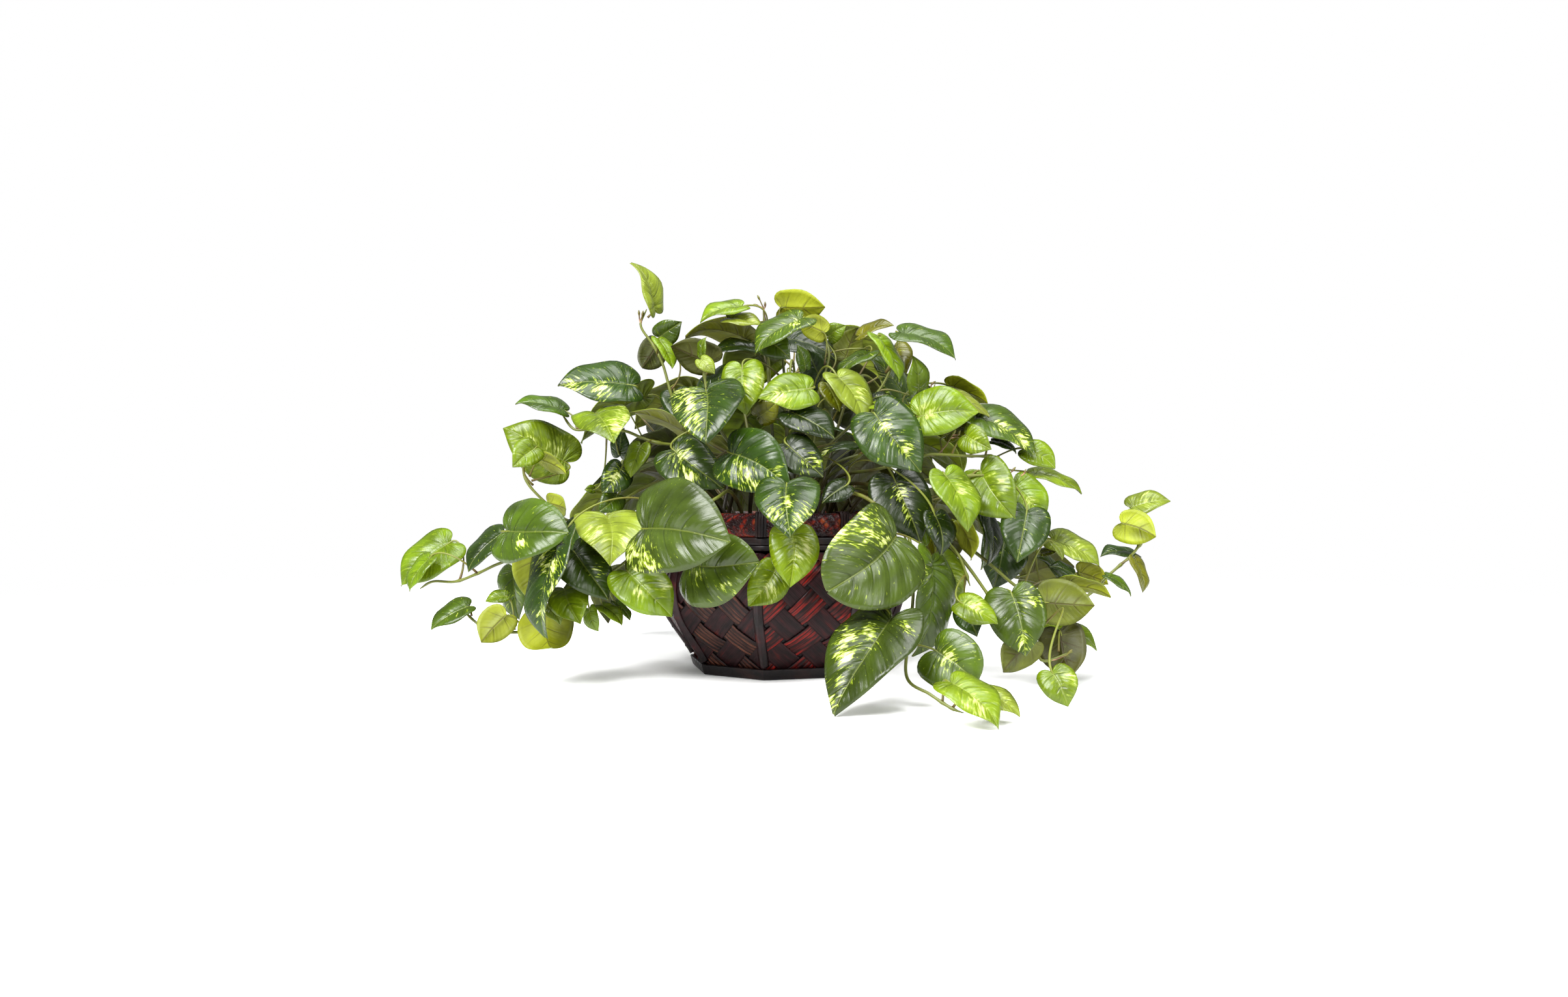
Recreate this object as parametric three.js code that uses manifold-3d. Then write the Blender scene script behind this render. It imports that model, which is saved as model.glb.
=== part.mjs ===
// A potted pothos: leafy stems in soil, in a plastic liner pot that stands inside an octagonal
// planter of plaited bamboo. Millimetres, +Z up, the origin under the planter's centre. The
// front of the plant looks along -Y.
import * as THREE from 'three';
import { mergeVertices } from 'three/addons/utils/BufferGeometryUtils.js';
import Module from 'manifold-3d';

const wasm = await Module();
wasm.setup();

const GAP = 0.3; // between pieces that touch

// Planter: an octagon in plan, with a corner almost at the front.
const CORNERS = 8;
const FIRST_CORNER = -8.7; // degrees from the front towards +X
const WALL_OUTSIDE = [ // corner radius and height, from the foot to the shoulder
  [80, 1], [83, 10], [90.5, 22], [108.5, 47], [115.5, 65], [117.5, 83], [113.5, 100], [102.5, 113.3],
];
const WALL_THICK = 4.2;
const RIB_WIDTH = 9;
const RIB_THICK = 2.6;
const BASE_HEIGHT = 9.7;
const BASE_THICK = 3.8;
const BOARD = { low: 0, high: 5 };
const LOWER_BAND = { inside: 93, outside: 99, low: 113.6, high: 126.2 };
const RIM_BAND = { inside: 93.5, outside: 100.5, low: 126.5, high: 147 };
const LASHING_WIDTH = 10.6;
const LASHING_THICK = 1.4;
const LASHING_INSIDE_DROP = 12;
const STRIP_START = 20; // corner pieces are cut from rings between these distances
const STRIP_END = 160;

// Liner pot and soil: round.
const ROUND_SIDES = 28;
const LINER = { footRadius: 66, rimRadius: 83, low: BOARD.high + GAP, high: 139, thick: 1.8 };
const SOIL_TOP = 128;
const SOIL_MOUND = 3;
const ROOT_DEPTH = 40;
const SOIL_CLEAR = 5; // height over the soil where a stem starts to lean
const STEM_UPRIGHT = 14; // length that rises straight above it
const OUTER_ROOT = 60; // a root further out than this leans out over the rim
const LEAN_OUT = { radius: 90, above: 14 }; // where it passes, above the rim's clear height

// Stems, petioles and blades.
const STEM_RADIUS = 2.3;
const STEM_STEP = 38;
const STEM_PARTS = 8;
const PETIOLE_PARTS = 5;
const PETIOLE_RADIUS = 1.3;
const PETIOLE_STEP = 26;
const SHORTEST_PETIOLE = 7;
const PETIOLE_JOINT = 9; // near the stem petioles may touch
const PETIOLE_BEND = 0.3; // share of its span over which it bends, at each end
const BLADE_THICK = 0.9;
const BLADE_FOLD = 0.25; // rise of the blade's halves from the midrib, per unit of width
const BLADE_CURL = 0.22; // turn-down of the margins
const BLADE_ARCH = 0.07; // height of the midrib's bow over its length
const BROAD = 0.85; // width of a blade over its length
const SLIGHT_PITCH = 14; // degrees that a blade's tip leans to the front, at least
const MOST_BROAD = 2.2; // the most that a blade is foreshortened
const LEAST_SHOWN = 0.26; // the least share of its width that a turned blade shows
const UPPER_SIDE = { spread: 1 / 300, front: 0.1 }; // how upper sides face, beside upwards

// The front view that the visible stems and blades are read from: EYE sees VIEW_CENTRE straight
// ahead, and one millimetre at the planter's axis spans VIEW_SCALE units of the view.
const EYE = new THREE.Vector3(5, -1050, 160);
const VIEW_CENTRE = [1204, 765.5];
const VIEW_SCALE = 1.61;

// The visible leafy stems. Each has its name, the angle and radius of its root in the soil
// (degrees from the front towards +X), its stem as points of the front view with their distance
// in front of the planter's axis, and its blades. A blade has its base and its tip in the view,
// the width seen, the distance of its base in front of the axis, its kind, and where it matters
// the pitch of its tip to the front. An "under" blade shows its underside.
const VINES = [
  ['vine_left_trail', [-80, 70],
    [[960, 810, 70], [900, 850, 75], [860, 857, 72],
      [800, 856, 62], [765, 866, 58], [735, 880, 52], [700, 893, 48], [665, 893, 44], [645, 904, 40]],
    [[691, 833, 612, 898, 60, 48, 'lime'], [660, 857, 628, 908, 25, 58, 'lime'],
      [773, 818, 716, 876, 35, 78, 'dark'], [778, 816, 868, 815, 97, 95, 'mid'],
      [788, 872, 797, 952, 42, 84, 'dark'], [822, 845, 813, 922, 60, 98, 'under pale']]],
  ['vine_left_high', [-75, 54],
    [[1110, 725, 0], [1010, 740, 10], [920, 790, 30], [875, 800, 45], [838, 772, 50],
      [808, 738, 48], [803, 705, 45]],
    [[870, 711, 775, 653, 84, 55, 'lime'], [822, 688, 788, 717, 45, 72, 'lime'],
      [830, 705, 870, 727, 25, 62, 'under lime'], [842, 772, 872, 782, 35, 66, 'under pale'],
      [890, 800, 875, 850, 35, 66, 'dark']]],
  ['vine_left_low', [-64, 68],
    [[1010, 775, 90], [940, 850, 100], [880, 915, 100], [820, 965, 92],
      [790, 971, 88], [750, 968, 82], [730, 955, 78], [712, 938, 76]],
    [[778, 944, 738, 988, 55, 88, 'under pale'], [838, 938, 850, 1003, 85, 108, 'under lime'],
      [778, 915, 745, 922, 20, 80, 'lime'], [720, 931, 661, 966, 34, 75, 'mid'],
      [840, 930, 862, 958, 25, 118, 'pale'], [866, 825, 828, 978, 50, 122, 'dark']]],
  ['vine_left_front', [-48, 68],
    [[1040, 775, 105], [975, 850, 118], [920, 890, 120], [885, 905, 118]],
    [[866, 903, 891, 958, 62, 128, 'lime'],
      [880, 845, 935, 920, 75, 112, 'dark'], [905, 935, 918, 970, 25, 112, 'olive'],
      [925, 930, 956, 960, 22, 114, 'lime'], [945, 925, 968, 953, 12, 108, 'dark'],
      [962, 876, 1033, 947, 80, 142, 'lime'], [932, 792, 937, 865, 110, 128, 'pale']]],
  ['vine_front_left', [-28, 70],
    [[1100, 765, 125], [1040, 800, 135], [990, 812, 140]],
    [[986, 812, 1117, 830, 147, 165, 'dark'], [1056, 866, 1162, 862, 116, 150, 'dark']]],
  ['vine_up_left', [-120, 32],
    [[1150, 720, -5], [1090, 680, 0], [1050, 645, 10], [1033, 612, 18], [1018, 560, 15],
      [1003, 530, 12], [984, 500, 10], [993, 475, 8]],
    [[1005, 476, 974, 401, 32, 8, 'pale'], [1012, 518, 1047, 494, 40, 25, 'mid'],
      [1012, 522, 1033, 566, 25, 32, 'lime'], [1010, 528, 985, 566, 45, 16, 'under olive'],
      [1037, 603, 1060, 662, 55, 45, 'dark']]],
  ['vine_out_left', [-98, 48],
    [[1130, 715, 10], [1090, 695, 30], [1040, 684, 42], [1010, 680, 46], [985, 672, 46],
      [960, 662, 44], [925, 658, 40], [900, 660, 36], [880, 658, 33], [863, 636, 30]],
    [[866, 630, 792, 615, 28, 28, 'mid'], [972, 592, 856, 589, 60, 35, 'dark'],
      [914, 634, 943, 678, 80, 62, 'lime'], [1058, 667, 962, 630, 22, 62, 'under pale'],
      [985, 684, 966, 732, 35, 54, 'olive'], [952, 700, 957, 657, 30, 42, 'dark'],
      [955, 718, 925, 757, 48, 50, 'dark'], [948, 760, 920, 785, 40, 44, 'dark'],
      [912, 752, 898, 752, 14, 40, 'lime']]],
  ['vine_inner_left', [-50, 35],
    [[1150, 715, 35], [1120, 680, 50], [1095, 640, 60], [1085, 600, 62], [1080, 560, 58]],
    [[1084, 598, 1082, 672, 110, 84, 'dark'], [1095, 558, 1030, 530, 55, 55, 'under olive'],
      [1078, 548, 1083, 517, 15, 62, 'lime'], [1076, 552, 1098, 573, 25, 68, 'pale'],
      [1033, 690, 1112, 749, 78, 105, 'dark'], [1043, 736, 983, 722, 28, 74, 'under olive'],
      [1080, 600, 1140, 565, 35, 40, 'dark']]],
  ['vine_top_left', [-170, 15],
    [[1190, 720, 0], [1185, 650, 10], [1180, 580, 12], [1177, 522, 12], [1172, 470, 10]],
    [[1139, 471, 1074, 491, 26, 22, 'lime'], [1118, 489, 1173, 501, 20, 28, 'pale'],
      [1150, 521, 1052, 509, 35, 32, 'under olive'], [1160, 535, 1092, 541, 22, 38, 'dark']]],
  ['vine_top', [6, 13],
    [[1206, 715, 24], [1208, 640, 36], [1203, 560, 33], [1197, 493, 25]],
    [[1175, 520, 1213, 550, 45, 52, 'dark'], [1199, 472, 1268, 471, 55, 30, 'under lime'],
      [1232, 490, 1157, 541, 42, 62, 'mid'], [1205, 520, 1285, 549, 35, 46, 'olive'],
      [1237, 566, 1224, 529, 22, 50, 'mid'], [1140, 562, 1146, 637, 66, 82, 'lime'],
      [1165, 640, 1195, 615, 40, 60, 'olive']]],
  ['vine_top_right', [80, 25],
    [[1220, 715, 15], [1245, 640, 28], [1262, 590, 34], [1273, 549, 32], [1270, 525, 28]],
    [[1266, 511, 1226, 497, 40, 30, 'under lime'], [1272, 517, 1299, 500, 30, 30, 'lime'],
      [1262, 588, 1240, 536, 48, 50, 'dark'], [1244, 597, 1164, 610, 55, 88, 'lime'],
      [1270, 590, 1290, 632, 35, 58, 'olive'], [1336, 542, 1282, 577, 20, 52, 'mid'],
      [1285, 577, 1326, 650, 52, 82, 'pale'], [1298, 552, 1318, 502, 45, 30, 'under olive']]],
  ['vine_centre', [20, 45],
    [[1225, 730, 60], [1240, 700, 75], [1250, 670, 82], [1240, 645, 84]],
    [[1213, 632, 1283, 672, 50, 92, 'dark'], [1208, 682, 1265, 731, 60, 112, 'mid'],
      [1316, 684, 1259, 697, 16, 95, 'dark'], [1300, 745, 1262, 772, 35, 112, 'olive'],
      [1310, 700, 1270, 760, 45, 62, 'under olive'], [1345, 700, 1300, 745, 45, 52, 'under olive']]],
  ['vine_front_centre', [-2, 68],
    [[1205, 735, 115], [1215, 770, 128], [1222, 830, 140], [1205, 870, 142]],
    [[1120, 695, 1213, 748, 100, 142, 'dark'], [1208, 742, 1214, 824, 100, 152, 'dark'],
      [1217, 815, 1213, 902, 77, 152, 'lime'], [1192, 873, 1149, 931, 62, 146, 'lime']]],
  ['vine_front_right', [25, 70],
    [[1320, 760, 110], [1360, 790, 130], [1372, 820, 140], [1362, 880, 158],
      [1350, 915, 182], [1345, 935, 195]],
    [[1376, 824, 1275, 905, 145, 162, 'dark'], [1370, 953, 1276, 1097, 128, 206, 'dark', 30],
      [1430, 860, 1413, 1010, 58, 156, 'mid']]],
  ['vine_right_inner', [40, 52],
    [[1270, 735, 50], [1320, 700, 70], [1345, 665, 80], [1345, 640, 82]],
    [[1342, 634, 1416, 724, 95, 112, 'dark'], [1372, 733, 1415, 832, 88, 132, 'dark'],
      [1340, 612, 1365, 606, 15, 80, 'dark'], [1345, 622, 1405, 637, 15, 96, 'lime']]],
  ['vine_right_top', [115, 20],
    [[1250, 710, 5], [1310, 650, 20], [1350, 600, 30], [1370, 560, 32], [1372, 533, 32]],
    [[1382, 512, 1470, 547, 30, 40, 'mid'], [1320, 516, 1372, 497, 18, 25, 'olive'],
      [1372, 533, 1392, 570, 45, 50, 'olive'], [1348, 518, 1383, 586, 28, 56, 'lime'],
      [1392, 617, 1334, 544, 45, 66, 'mid'], [1410, 602, 1405, 546, 35, 46, 'olive']]],
  ['vine_right_up', [100, 48],
    [[1275, 720, 30], [1340, 690, 40], [1400, 650, 50], [1425, 620, 52], [1436, 590, 50]],
    [[1457, 592, 1518, 618, 30, 50, 'under lime'], [1422, 622, 1505, 617, 35, 62, 'under olive'],
      [1440, 600, 1520, 640, 20, 72, 'pale'], [1410, 640, 1503, 632, 75, 88, 'lime']]],
  ['vine_right_reach', [82, 55],
    [[1285, 735, 36], [1350, 720, 62], [1419, 700, 75], [1441, 698, 77], [1480, 700, 75],
      [1535, 701, 68]],
    [[1493, 638, 1589, 697, 45, 70, 'mid'], [1455, 668, 1499, 650, 25, 62, 'olive'],
      [1482, 668, 1522, 690, 45, 86, 'lime'], [1575, 690, 1621, 719, 40, 60, 'lime'],
      [1525, 677, 1562, 694, 14, 60, 'dark'], [1585, 727, 1663, 755, 18, 60, 'lime']]],
  ['vine_right_mid', [62, 55],
    [[1300, 745, 44], [1360, 745, 70], [1440, 735, 92], [1500, 730, 90], [1551, 731, 82]],
    [[1450, 728, 1490, 815, 58, 120, 'lime'], [1505, 722, 1558, 796, 85, 112, 'lime'],
      [1556, 742, 1601, 803, 60, 96, 'lime'], [1577, 785, 1562, 863, 75, 102, 'dark'],
      [1600, 848, 1624, 846, 14, 72, 'olive']]],
  ['vine_right_low', [58, 68],
    [[1385, 775, 76], [1430, 810, 96], [1470, 850, 110], [1490, 900, 108]],
    [[1470, 800, 1494, 860, 30, 96, 'under pale'], [1435, 790, 1447, 852, 45, 106, 'dark'],
      [1415, 812, 1420, 842, 15, 116, 'olive'], [1506, 783, 1511, 875, 11, 96, 'mid'],
      [1515, 785, 1521, 868, 22, 90, 'dark'], [1545, 815, 1528, 905, 72, 84, 'dark'],
      [1437, 856, 1471, 930, 62, 136, 'lime'], [1482, 935, 1500, 976, 45, 108, 'dark'],
      [1475, 925, 1533, 957, 42, 122, 'lime'],
      [1448, 800, 1468, 862, 52, 70, 'under olive'], [1418, 806, 1436, 862, 36, 84, 'olive']]],
  ['vine_right_trail', [42, 68],
    [[1385, 800, 100], [1402, 900, 140], [1395, 980, 175], [1393, 1041, 215],
      [1428, 1066, 230], [1460, 1087, 240], [1480, 1095, 245]],
    [[1460, 1050, 1537, 1116, 55, 268, 'lime', 30], [1515, 1062, 1568, 1098, 32, 258, 'pale', 20],
      [1436, 998, 1500, 1048, 95, 196, 'dark', 25]]],
  ['vine_right_far', [86, 68],
    [[1400, 780, 45], [1500, 850, 70], [1560, 900, 80], [1604, 925, 75],
      [1643, 931, 70], [1670, 915, 66], [1703, 883, 60], [1739, 851, 54], [1758, 824, 48]],
    [[1738, 780, 1799, 766, 35, 45, 'pale'], [1722, 803, 1776, 825, 55, 54, 'under lime'],
      [1740, 850, 1690, 852, 16, 50, 'dark'], [1742, 858, 1757, 910, 18, 60, 'olive'],
      [1616, 829, 1692, 866, 35, 76, 'pale'], [1655, 878, 1703, 897, 35, 72, 'under lime'],
      [1632, 898, 1707, 914, 22, 78, 'under pale'], [1635, 893, 1590, 852, 10, 70, 'mid'],
      [1648, 882, 1612, 868, 18, 74, 'dark'], [1570, 884, 1650, 868, 55, 66, 'under olive'],
      [1618, 835, 1632, 860, 12, 82, 'pale'], [1700, 884, 1739, 914, 14, 62, 'mid']]],
  ['vine_right_drop', [72, 68],
    [[1390, 775, 65], [1470, 850, 90], [1530, 930, 105], [1586, 995, 118],
      [1604, 1015, 122], [1647, 1001, 118]],
    [[1553, 909, 1575, 1008, 90, 125, 'dark'], [1606, 960, 1688, 992, 38, 110, 'lime'],
      [1602, 925, 1682, 930, 72, 92, 'under olive'], [1628, 968, 1648, 1038, 74, 112, 'under olive'],
      [1590, 985, 1538, 1032, 55, 132, 'under olive'], [1615, 1031, 1640, 1085, 58, 205, 'lime', 20]]],
  ['vine_low_left', [-104, 72],
    [[1080, 750, -60], [1090, 740, -100], [1105, 748, -128]],
    [[1085, 736, 1062, 840, 70, -110, 'under olive'], [1108, 740, 1120, 850, 76, -128, 'under olive'],
      [1128, 740, 1172, 835, 66, -126, 'under olive']]],
  ['vine_low_back', [168, 72],
    [[1222, 748, -100], [1225, 742, -128]],
    [[1215, 740, 1188, 845, 70, -122, 'under olive'], [1232, 744, 1242, 855, 76, -130, 'under olive'],
      [1248, 742, 1284, 840, 58, -126, 'under olive']]],
  ['vine_low_right', [112, 72],
    [[1308, 750, -62], [1312, 740, -100], [1316, 746, -126]],
    [[1304, 738, 1286, 845, 70, -118, 'under olive'], [1322, 740, 1338, 850, 72, -118, 'under olive'],
      [1335, 732, 1378, 825, 66, -105, 'under olive']]],
];

// The leafy stems that the front hides: spread over the back, high ones near the middle and
// drooping ones further out, by the golden ratio. Pairs are a least value and its spread.
const HIDDEN_VINES = 8;
const HIDDEN_FROM = 112; // degrees from the front towards +X
const HIDDEN_TO = 248;
const HIDDEN_SEED = 10;
const HIDDEN_ROOT = [36, 36];
const HIDDEN_REACH = [125, 115];
const HIDDEN_TOP = [300, -115];
const HIDDEN_DROP = [15, 120];
const HIDDEN_BEND = 0.62; // share of the reach where the stem is highest
const HIDDEN_BLADES = 7;
const HIDDEN_BARE = 0.42; // share of the stem below its first blade
const BARE_JOINTS = [[0, 3], [5, 2], [7, 4]]; // a blade at these would show from the front
const HIDDEN_LENGTH = [62, 34];
const HIDDEN_ASIDE = [26, 16];
const HIDDEN_OUT = [8, 18];
const HIDDEN_UP = [14, 10];
const HIDDEN_LAST_UP = 2;
const HIDDEN_AXIS = { out: 0.6, aside: 0.75, down: [0.35, 0.5] };
const HIDDEN_TILT = 0.55;
const HIDDEN_ROOM = 0.9; // a hidden blade grows only where its petiole has this share of room
const GOLDEN = 0.618034;

// Clear distances that the blades and petioles keep.
const BLADE_CLEAR = 6.5;
const STEM_CLEAR = 6;
const PETIOLE_CLEAR_OF_BLADE = 8.5;
const PETIOLE_CLEAR_OF_STEM = 5;
const PLANTER_CLEAR = 5;
const SAMPLE_STEP = 7;
const JOINT_REACH = 14; // near its own joint a blade may touch its stem
const TABLE_CLEAR = 1.5;
const RIM_CLEAR_HEIGHT = RIM_BAND.high + 5;
// How far a blade may move along its line of sight, towards the eye if positive, best first.
const SHIFTS = [0, -4, -8, 4, -12, -16, 8, -21, -27, 13, -34, -42, 19, -52, -64, 27, -78, 37, -95];

const vec = (x, y, z) => new THREE.Vector3(x, y, z);
const radians = THREE.MathUtils.degToRad;
const fraction = (value) => value - Math.floor(value);
const within = ([least, spread], share) => least + spread * share;
const UP = vec(0, 0, 1);

// ---- Solids ------------------------------------------------------------------------------

function solid(geometry) {
  const bare = geometry.clone();
  bare.deleteAttribute('normal');
  bare.deleteAttribute('uv');
  const merged = mergeVertices(bare, 1e-4);
  const index = merged.index.array;
  const kept = [];
  for (let i = 0; i < index.length; i += 3) {
    const [a, b, c] = [index[i], index[i + 1], index[i + 2]];
    if (a !== b && b !== c && c !== a) kept.push(a, b, c);
  }
  const mesh = new wasm.Mesh({
    numProp: 3,
    vertProperties: new Float32Array(merged.attributes.position.array),
    triVerts: new Uint32Array(kept),
  });
  return new wasm.Manifold(mesh);
}

function geometryOf(manifold) {
  const mesh = manifold.getMesh();
  const geometry = new THREE.BufferGeometry();
  geometry.setAttribute('position', new THREE.BufferAttribute(mesh.vertProperties, 3));
  geometry.setIndex(new THREE.BufferAttribute(mesh.triVerts, 1));
  geometry.computeVertexNormals();
  return geometry;
}

// A ring or disc round the Z axis. The profile is [radius, z] points, outside upwards.
function turned(profile, sides, firstDegrees = 0) {
  const points = profile.map(([radius, z]) => new THREE.Vector2(radius, z));
  return new THREE.LatheGeometry(points, sides, radians(firstDegrees)).rotateX(Math.PI / 2);
}

const octagonal = (profile) => turned([...profile, profile[0]], CORNERS, FIRST_CORNER);

// ---- Planter -----------------------------------------------------------------------------

const offsetProfile = (profile, by) => profile.map(([radius, z]) => [radius + by, z]);

function between(inside, outside) {
  return octagonal([...outside, ...[...inside].reverse()]);
}

function wall() {
  return between(offsetProfile(WALL_OUTSIDE, -WALL_THICK), WALL_OUTSIDE);
}

const wallRadius = (z) => {
  const above = WALL_OUTSIDE.findIndex(([, height]) => height >= z);
  if (above < 0) return RIM_BAND.outside + LASHING_THICK;
  if (above === 0) return WALL_OUTSIDE[0][0];
  const [[r0, z0], [r1, z1]] = [WALL_OUTSIDE[above - 1], WALL_OUTSIDE[above]];
  return r0 + ((r1 - r0) * (z - z0)) / (z1 - z0);
};

function baseRing() {
  const inside = [[wallRadius(0) + GAP, 0], [wallRadius(BASE_HEIGHT) + GAP, BASE_HEIGHT]];
  return between(inside, offsetProfile(inside, BASE_THICK));
}

function board() {
  const edge = wallRadius(BOARD.low) - WALL_THICK - GAP;
  return octagonal([[0, BOARD.low], [edge, BOARD.low], [edge, BOARD.high], [0, BOARD.high]]);
}

function band({ inside, outside, low, high }) {
  return between([[inside, low], [inside, high]], [[outside, low], [outside, high]]);
}

// A strip of a ring at one corner: the ring cut by an upright slab along that corner.
function cornerStrip(ring, corner, width) {
  const slab = new THREE.BoxGeometry(width, STRIP_END - STRIP_START, 2 * STRIP_END);
  slab.translate(0, -(STRIP_START + STRIP_END) / 2, 0);
  slab.rotateZ(radians(FIRST_CORNER + (corner * 360) / CORNERS));
  return geometryOf(solid(ring).intersect(solid(slab)));
}

function ribRing() {
  const line = WALL_OUTSIDE.slice(1).map(([radius, z]) => [radius + GAP, z]);
  line[0][1] = BASE_HEIGHT + GAP;
  return between(line, offsetProfile(line, RIB_THICK));
}

function lashingRing() {
  const { inside, outside, low, high } = RIM_BAND;
  const [near, far] = [inside - GAP, outside + GAP];
  const [top, cover] = [high + GAP, high + GAP + LASHING_THICK];
  return octagonal([
    [near, high - LASHING_INSIDE_DROP], [near, top], [far, top], [far, low], [far + LASHING_THICK, low],
    [far + LASHING_THICK, cover], [near - LASHING_THICK, cover],
    [near - LASHING_THICK, high - LASHING_INSIDE_DROP],
  ]);
}

// ---- Liner pot and soil ------------------------------------------------------------------

const linerRadius = (z) =>
  LINER.footRadius + ((LINER.rimRadius - LINER.footRadius) * (z - LINER.low)) / (LINER.high - LINER.low);

function liner() {
  const floor = LINER.low + LINER.thick;
  return turned([
    [0, LINER.low], [LINER.footRadius, LINER.low], [LINER.rimRadius, LINER.high],
    [LINER.rimRadius - LINER.thick, LINER.high], [linerRadius(floor) - LINER.thick, floor], [0, floor],
  ], ROUND_SIDES);
}

const rootPoint = ([degrees, radius], above) =>
  vec(radius * Math.sin(radians(degrees)), -radius * Math.cos(radians(degrees)), SOIL_TOP + above);

function soil(roots) {
  const low = LINER.low + LINER.thick + GAP;
  const inner = (z) => linerRadius(z) - LINER.thick - GAP / Math.cos(Math.PI / ROUND_SIDES);
  const filled = turned([
    [0, low], [inner(low), low], [inner(SOIL_TOP), SOIL_TOP], [0, SOIL_TOP + SOIL_MOUND],
  ], ROUND_SIDES);
  let body = solid(filled);
  for (const root of roots) {
    const ends = [rootPoint(root, -ROOT_DEPTH - GAP), rootPoint(root, 20)];
    body = body.subtract(stemSolid(ends, STEM_RADIUS + 2 * GAP));
  }
  return geometryOf(body);
}

// ---- Stems -------------------------------------------------------------------------------

function seenAt(across, down, depth) {
  const near = (1 - depth / -EYE.y) / VIEW_SCALE;
  return vec(
    EYE.x + (across - VIEW_CENTRE[0]) * near,
    -depth,
    EYE.z - (down - VIEW_CENTRE[1]) * near,
  );
}

// The stem rises from the soil, and one that stands near the rim leans out over it.
function stemStart(root) {
  const foot = rootPoint(root, SOIL_CLEAR);
  const start = [foot, rootPoint(root, SOIL_CLEAR + STEM_UPRIGHT)];
  if (root[1] < OUTER_ROOT) return start;
  const outwards = foot.clone().multiplyScalar(LEAN_OUT.radius / root[1]);
  return [...start, outwards.setZ(RIM_CLEAR_HEIGHT + LEAN_OUT.above)];
}

// A stem is a chain of straight lengths through evenly spaced points of a smooth curve.
function stemLine(points) {
  const smooth = new THREE.CatmullRomCurve3(points, false, 'catmullrom', 0.5);
  const steps = Math.max(4, Math.round(smooth.getLength() / STEM_STEP));
  return { ...straightLengths(smooth.getSpacedPoints(steps), STEM_PARTS), smooth };
}

// Straight lengths between corners, with the points that divide each into equal parts.
function straightLengths(corners, parts) {
  const dense = corners.slice(0, -1).flatMap((corner, i) =>
    Array.from({ length: parts }, (_, k) => corner.clone().lerp(corners[i + 1], k / parts)));
  return { corners, dense: [...dense, corners[corners.length - 1]] };
}

// ---- Blades ------------------------------------------------------------------------------

// A blade's outline in its own plane, from the notch at the petiole (0) to the tip (1): along
// the midrib over the length, and across over half the width.
const LOBE = [[0, 0.02], [-0.2, 0.25], [-0.2, 1], [0.28, 1]];
const FLANK = [[0.28, 1], [0.68, 1], [0.8, 0.32], [1, 0]];
const LOBE_SHARE = 0.5;

function bezier(points, t) {
  const s = 1 - t;
  const weights = [s * s * s, 3 * s * s * t, 3 * s * t * t, t * t * t];
  return [0, 1].map((axis) => weights.reduce((sum, weight, i) => sum + weight * points[i][axis], 0));
}

function outlineAt(share) {
  if (share < LOBE_SHARE) return bezier(LOBE, share / LOBE_SHARE);
  return bezier(FLANK, (share - LOBE_SHARE) / (1 - LOBE_SHARE));
}

// A point of the blade: its midrib is bowed, its halves are folded up and its margins turn down.
function bladePoint(blade, along, across) {
  const half = blade.width / 2;
  const y = across * half;
  const bow = 4 * BLADE_ARCH * (along > 0 ? along * (1 - along) : along) * blade.length;
  const rise = bow + BLADE_FOLD * Math.abs(y) - (BLADE_CURL * y * y) / half;
  return blade.base.clone()
    .addScaledVector(blade.axis, along * blade.length)
    .addScaledVector(blade.side, y)
    .addScaledVector(blade.normal, rise);
}

function bladeFrom(base, tip, width, normal) {
  const axis = tip.clone().sub(base);
  const length = axis.length();
  axis.normalize();
  const square = normal.clone().addScaledVector(axis, -normal.dot(axis)).normalize();
  return { base, axis, normal: square, side: axis.clone().cross(square), length, width };
}

// A blade that is seen as broad as it is long leans towards the eye, and one that is seen
// narrow is turned about its midrib, with its upper side upwards and outwards.
function seenBlade([baseAcross, baseDown, tipAcross, tipDown, width, depth, kind, pitch]) {
  const near = (1 - depth / -EYE.y) / VIEW_SCALE;
  const seenLength = Math.hypot(tipAcross - baseAcross, tipDown - baseDown) * near;
  const seenWidth = width * near;
  const slight = 1 / Math.cos(radians(SLIGHT_PITCH));
  const broadness = Math.min(seenWidth / (BROAD * seenLength), MOST_BROAD);
  const lean = pitch === undefined
    ? Math.acos(1 / Math.max(broadness, slight))
    : radians(pitch);
  const base = seenAt(baseAcross, baseDown, depth);
  const tip = seenAt(tipAcross, tipDown, depth + seenLength * Math.tan(lean));
  const length = tip.distanceTo(base);
  const trueWidth = Math.max(seenWidth, BROAD * length);
  const turn = Math.acos(Math.max(seenWidth / trueWidth, LEAST_SHOWN));
  const axis = tip.clone().sub(base).normalize();
  const sight = EYE.clone().sub(base).normalize();
  const facing = sight.addScaledVector(axis, -sight.dot(axis)).normalize();
  const side = axis.clone().cross(facing);
  if (kind.startsWith('under')) facing.negate();
  const [one, other] = [turn, -turn].map((angle) =>
    facing.clone().multiplyScalar(Math.cos(angle)).addScaledVector(side, Math.sin(angle)));
  const upper = vec(base.x * UPPER_SIDE.spread, -UPPER_SIDE.front, 1);
  const normal = one.dot(upper) > other.dot(upper) ? one : other;
  return bladeFrom(base, tip, trueWidth, normal);
}

function bladeSamples(blade) {
  const rows = Math.ceil((blade.length * 1.3) / SAMPLE_STEP) + 1;
  const columns = Math.ceil(blade.width / 2 / SAMPLE_STEP);
  const samples = [];
  for (let row = 0; row <= rows; row += 1) {
    const [along, across] = outlineAt(row / rows);
    const midrib = Math.max(along, 0);
    for (let column = -columns; column <= columns; column += 1) {
      const out = Math.abs(column) / columns;
      samples.push(bladePoint(blade, midrib + (along - midrib) * out, (across * column) / columns));
    }
  }
  return samples;
}

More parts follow.
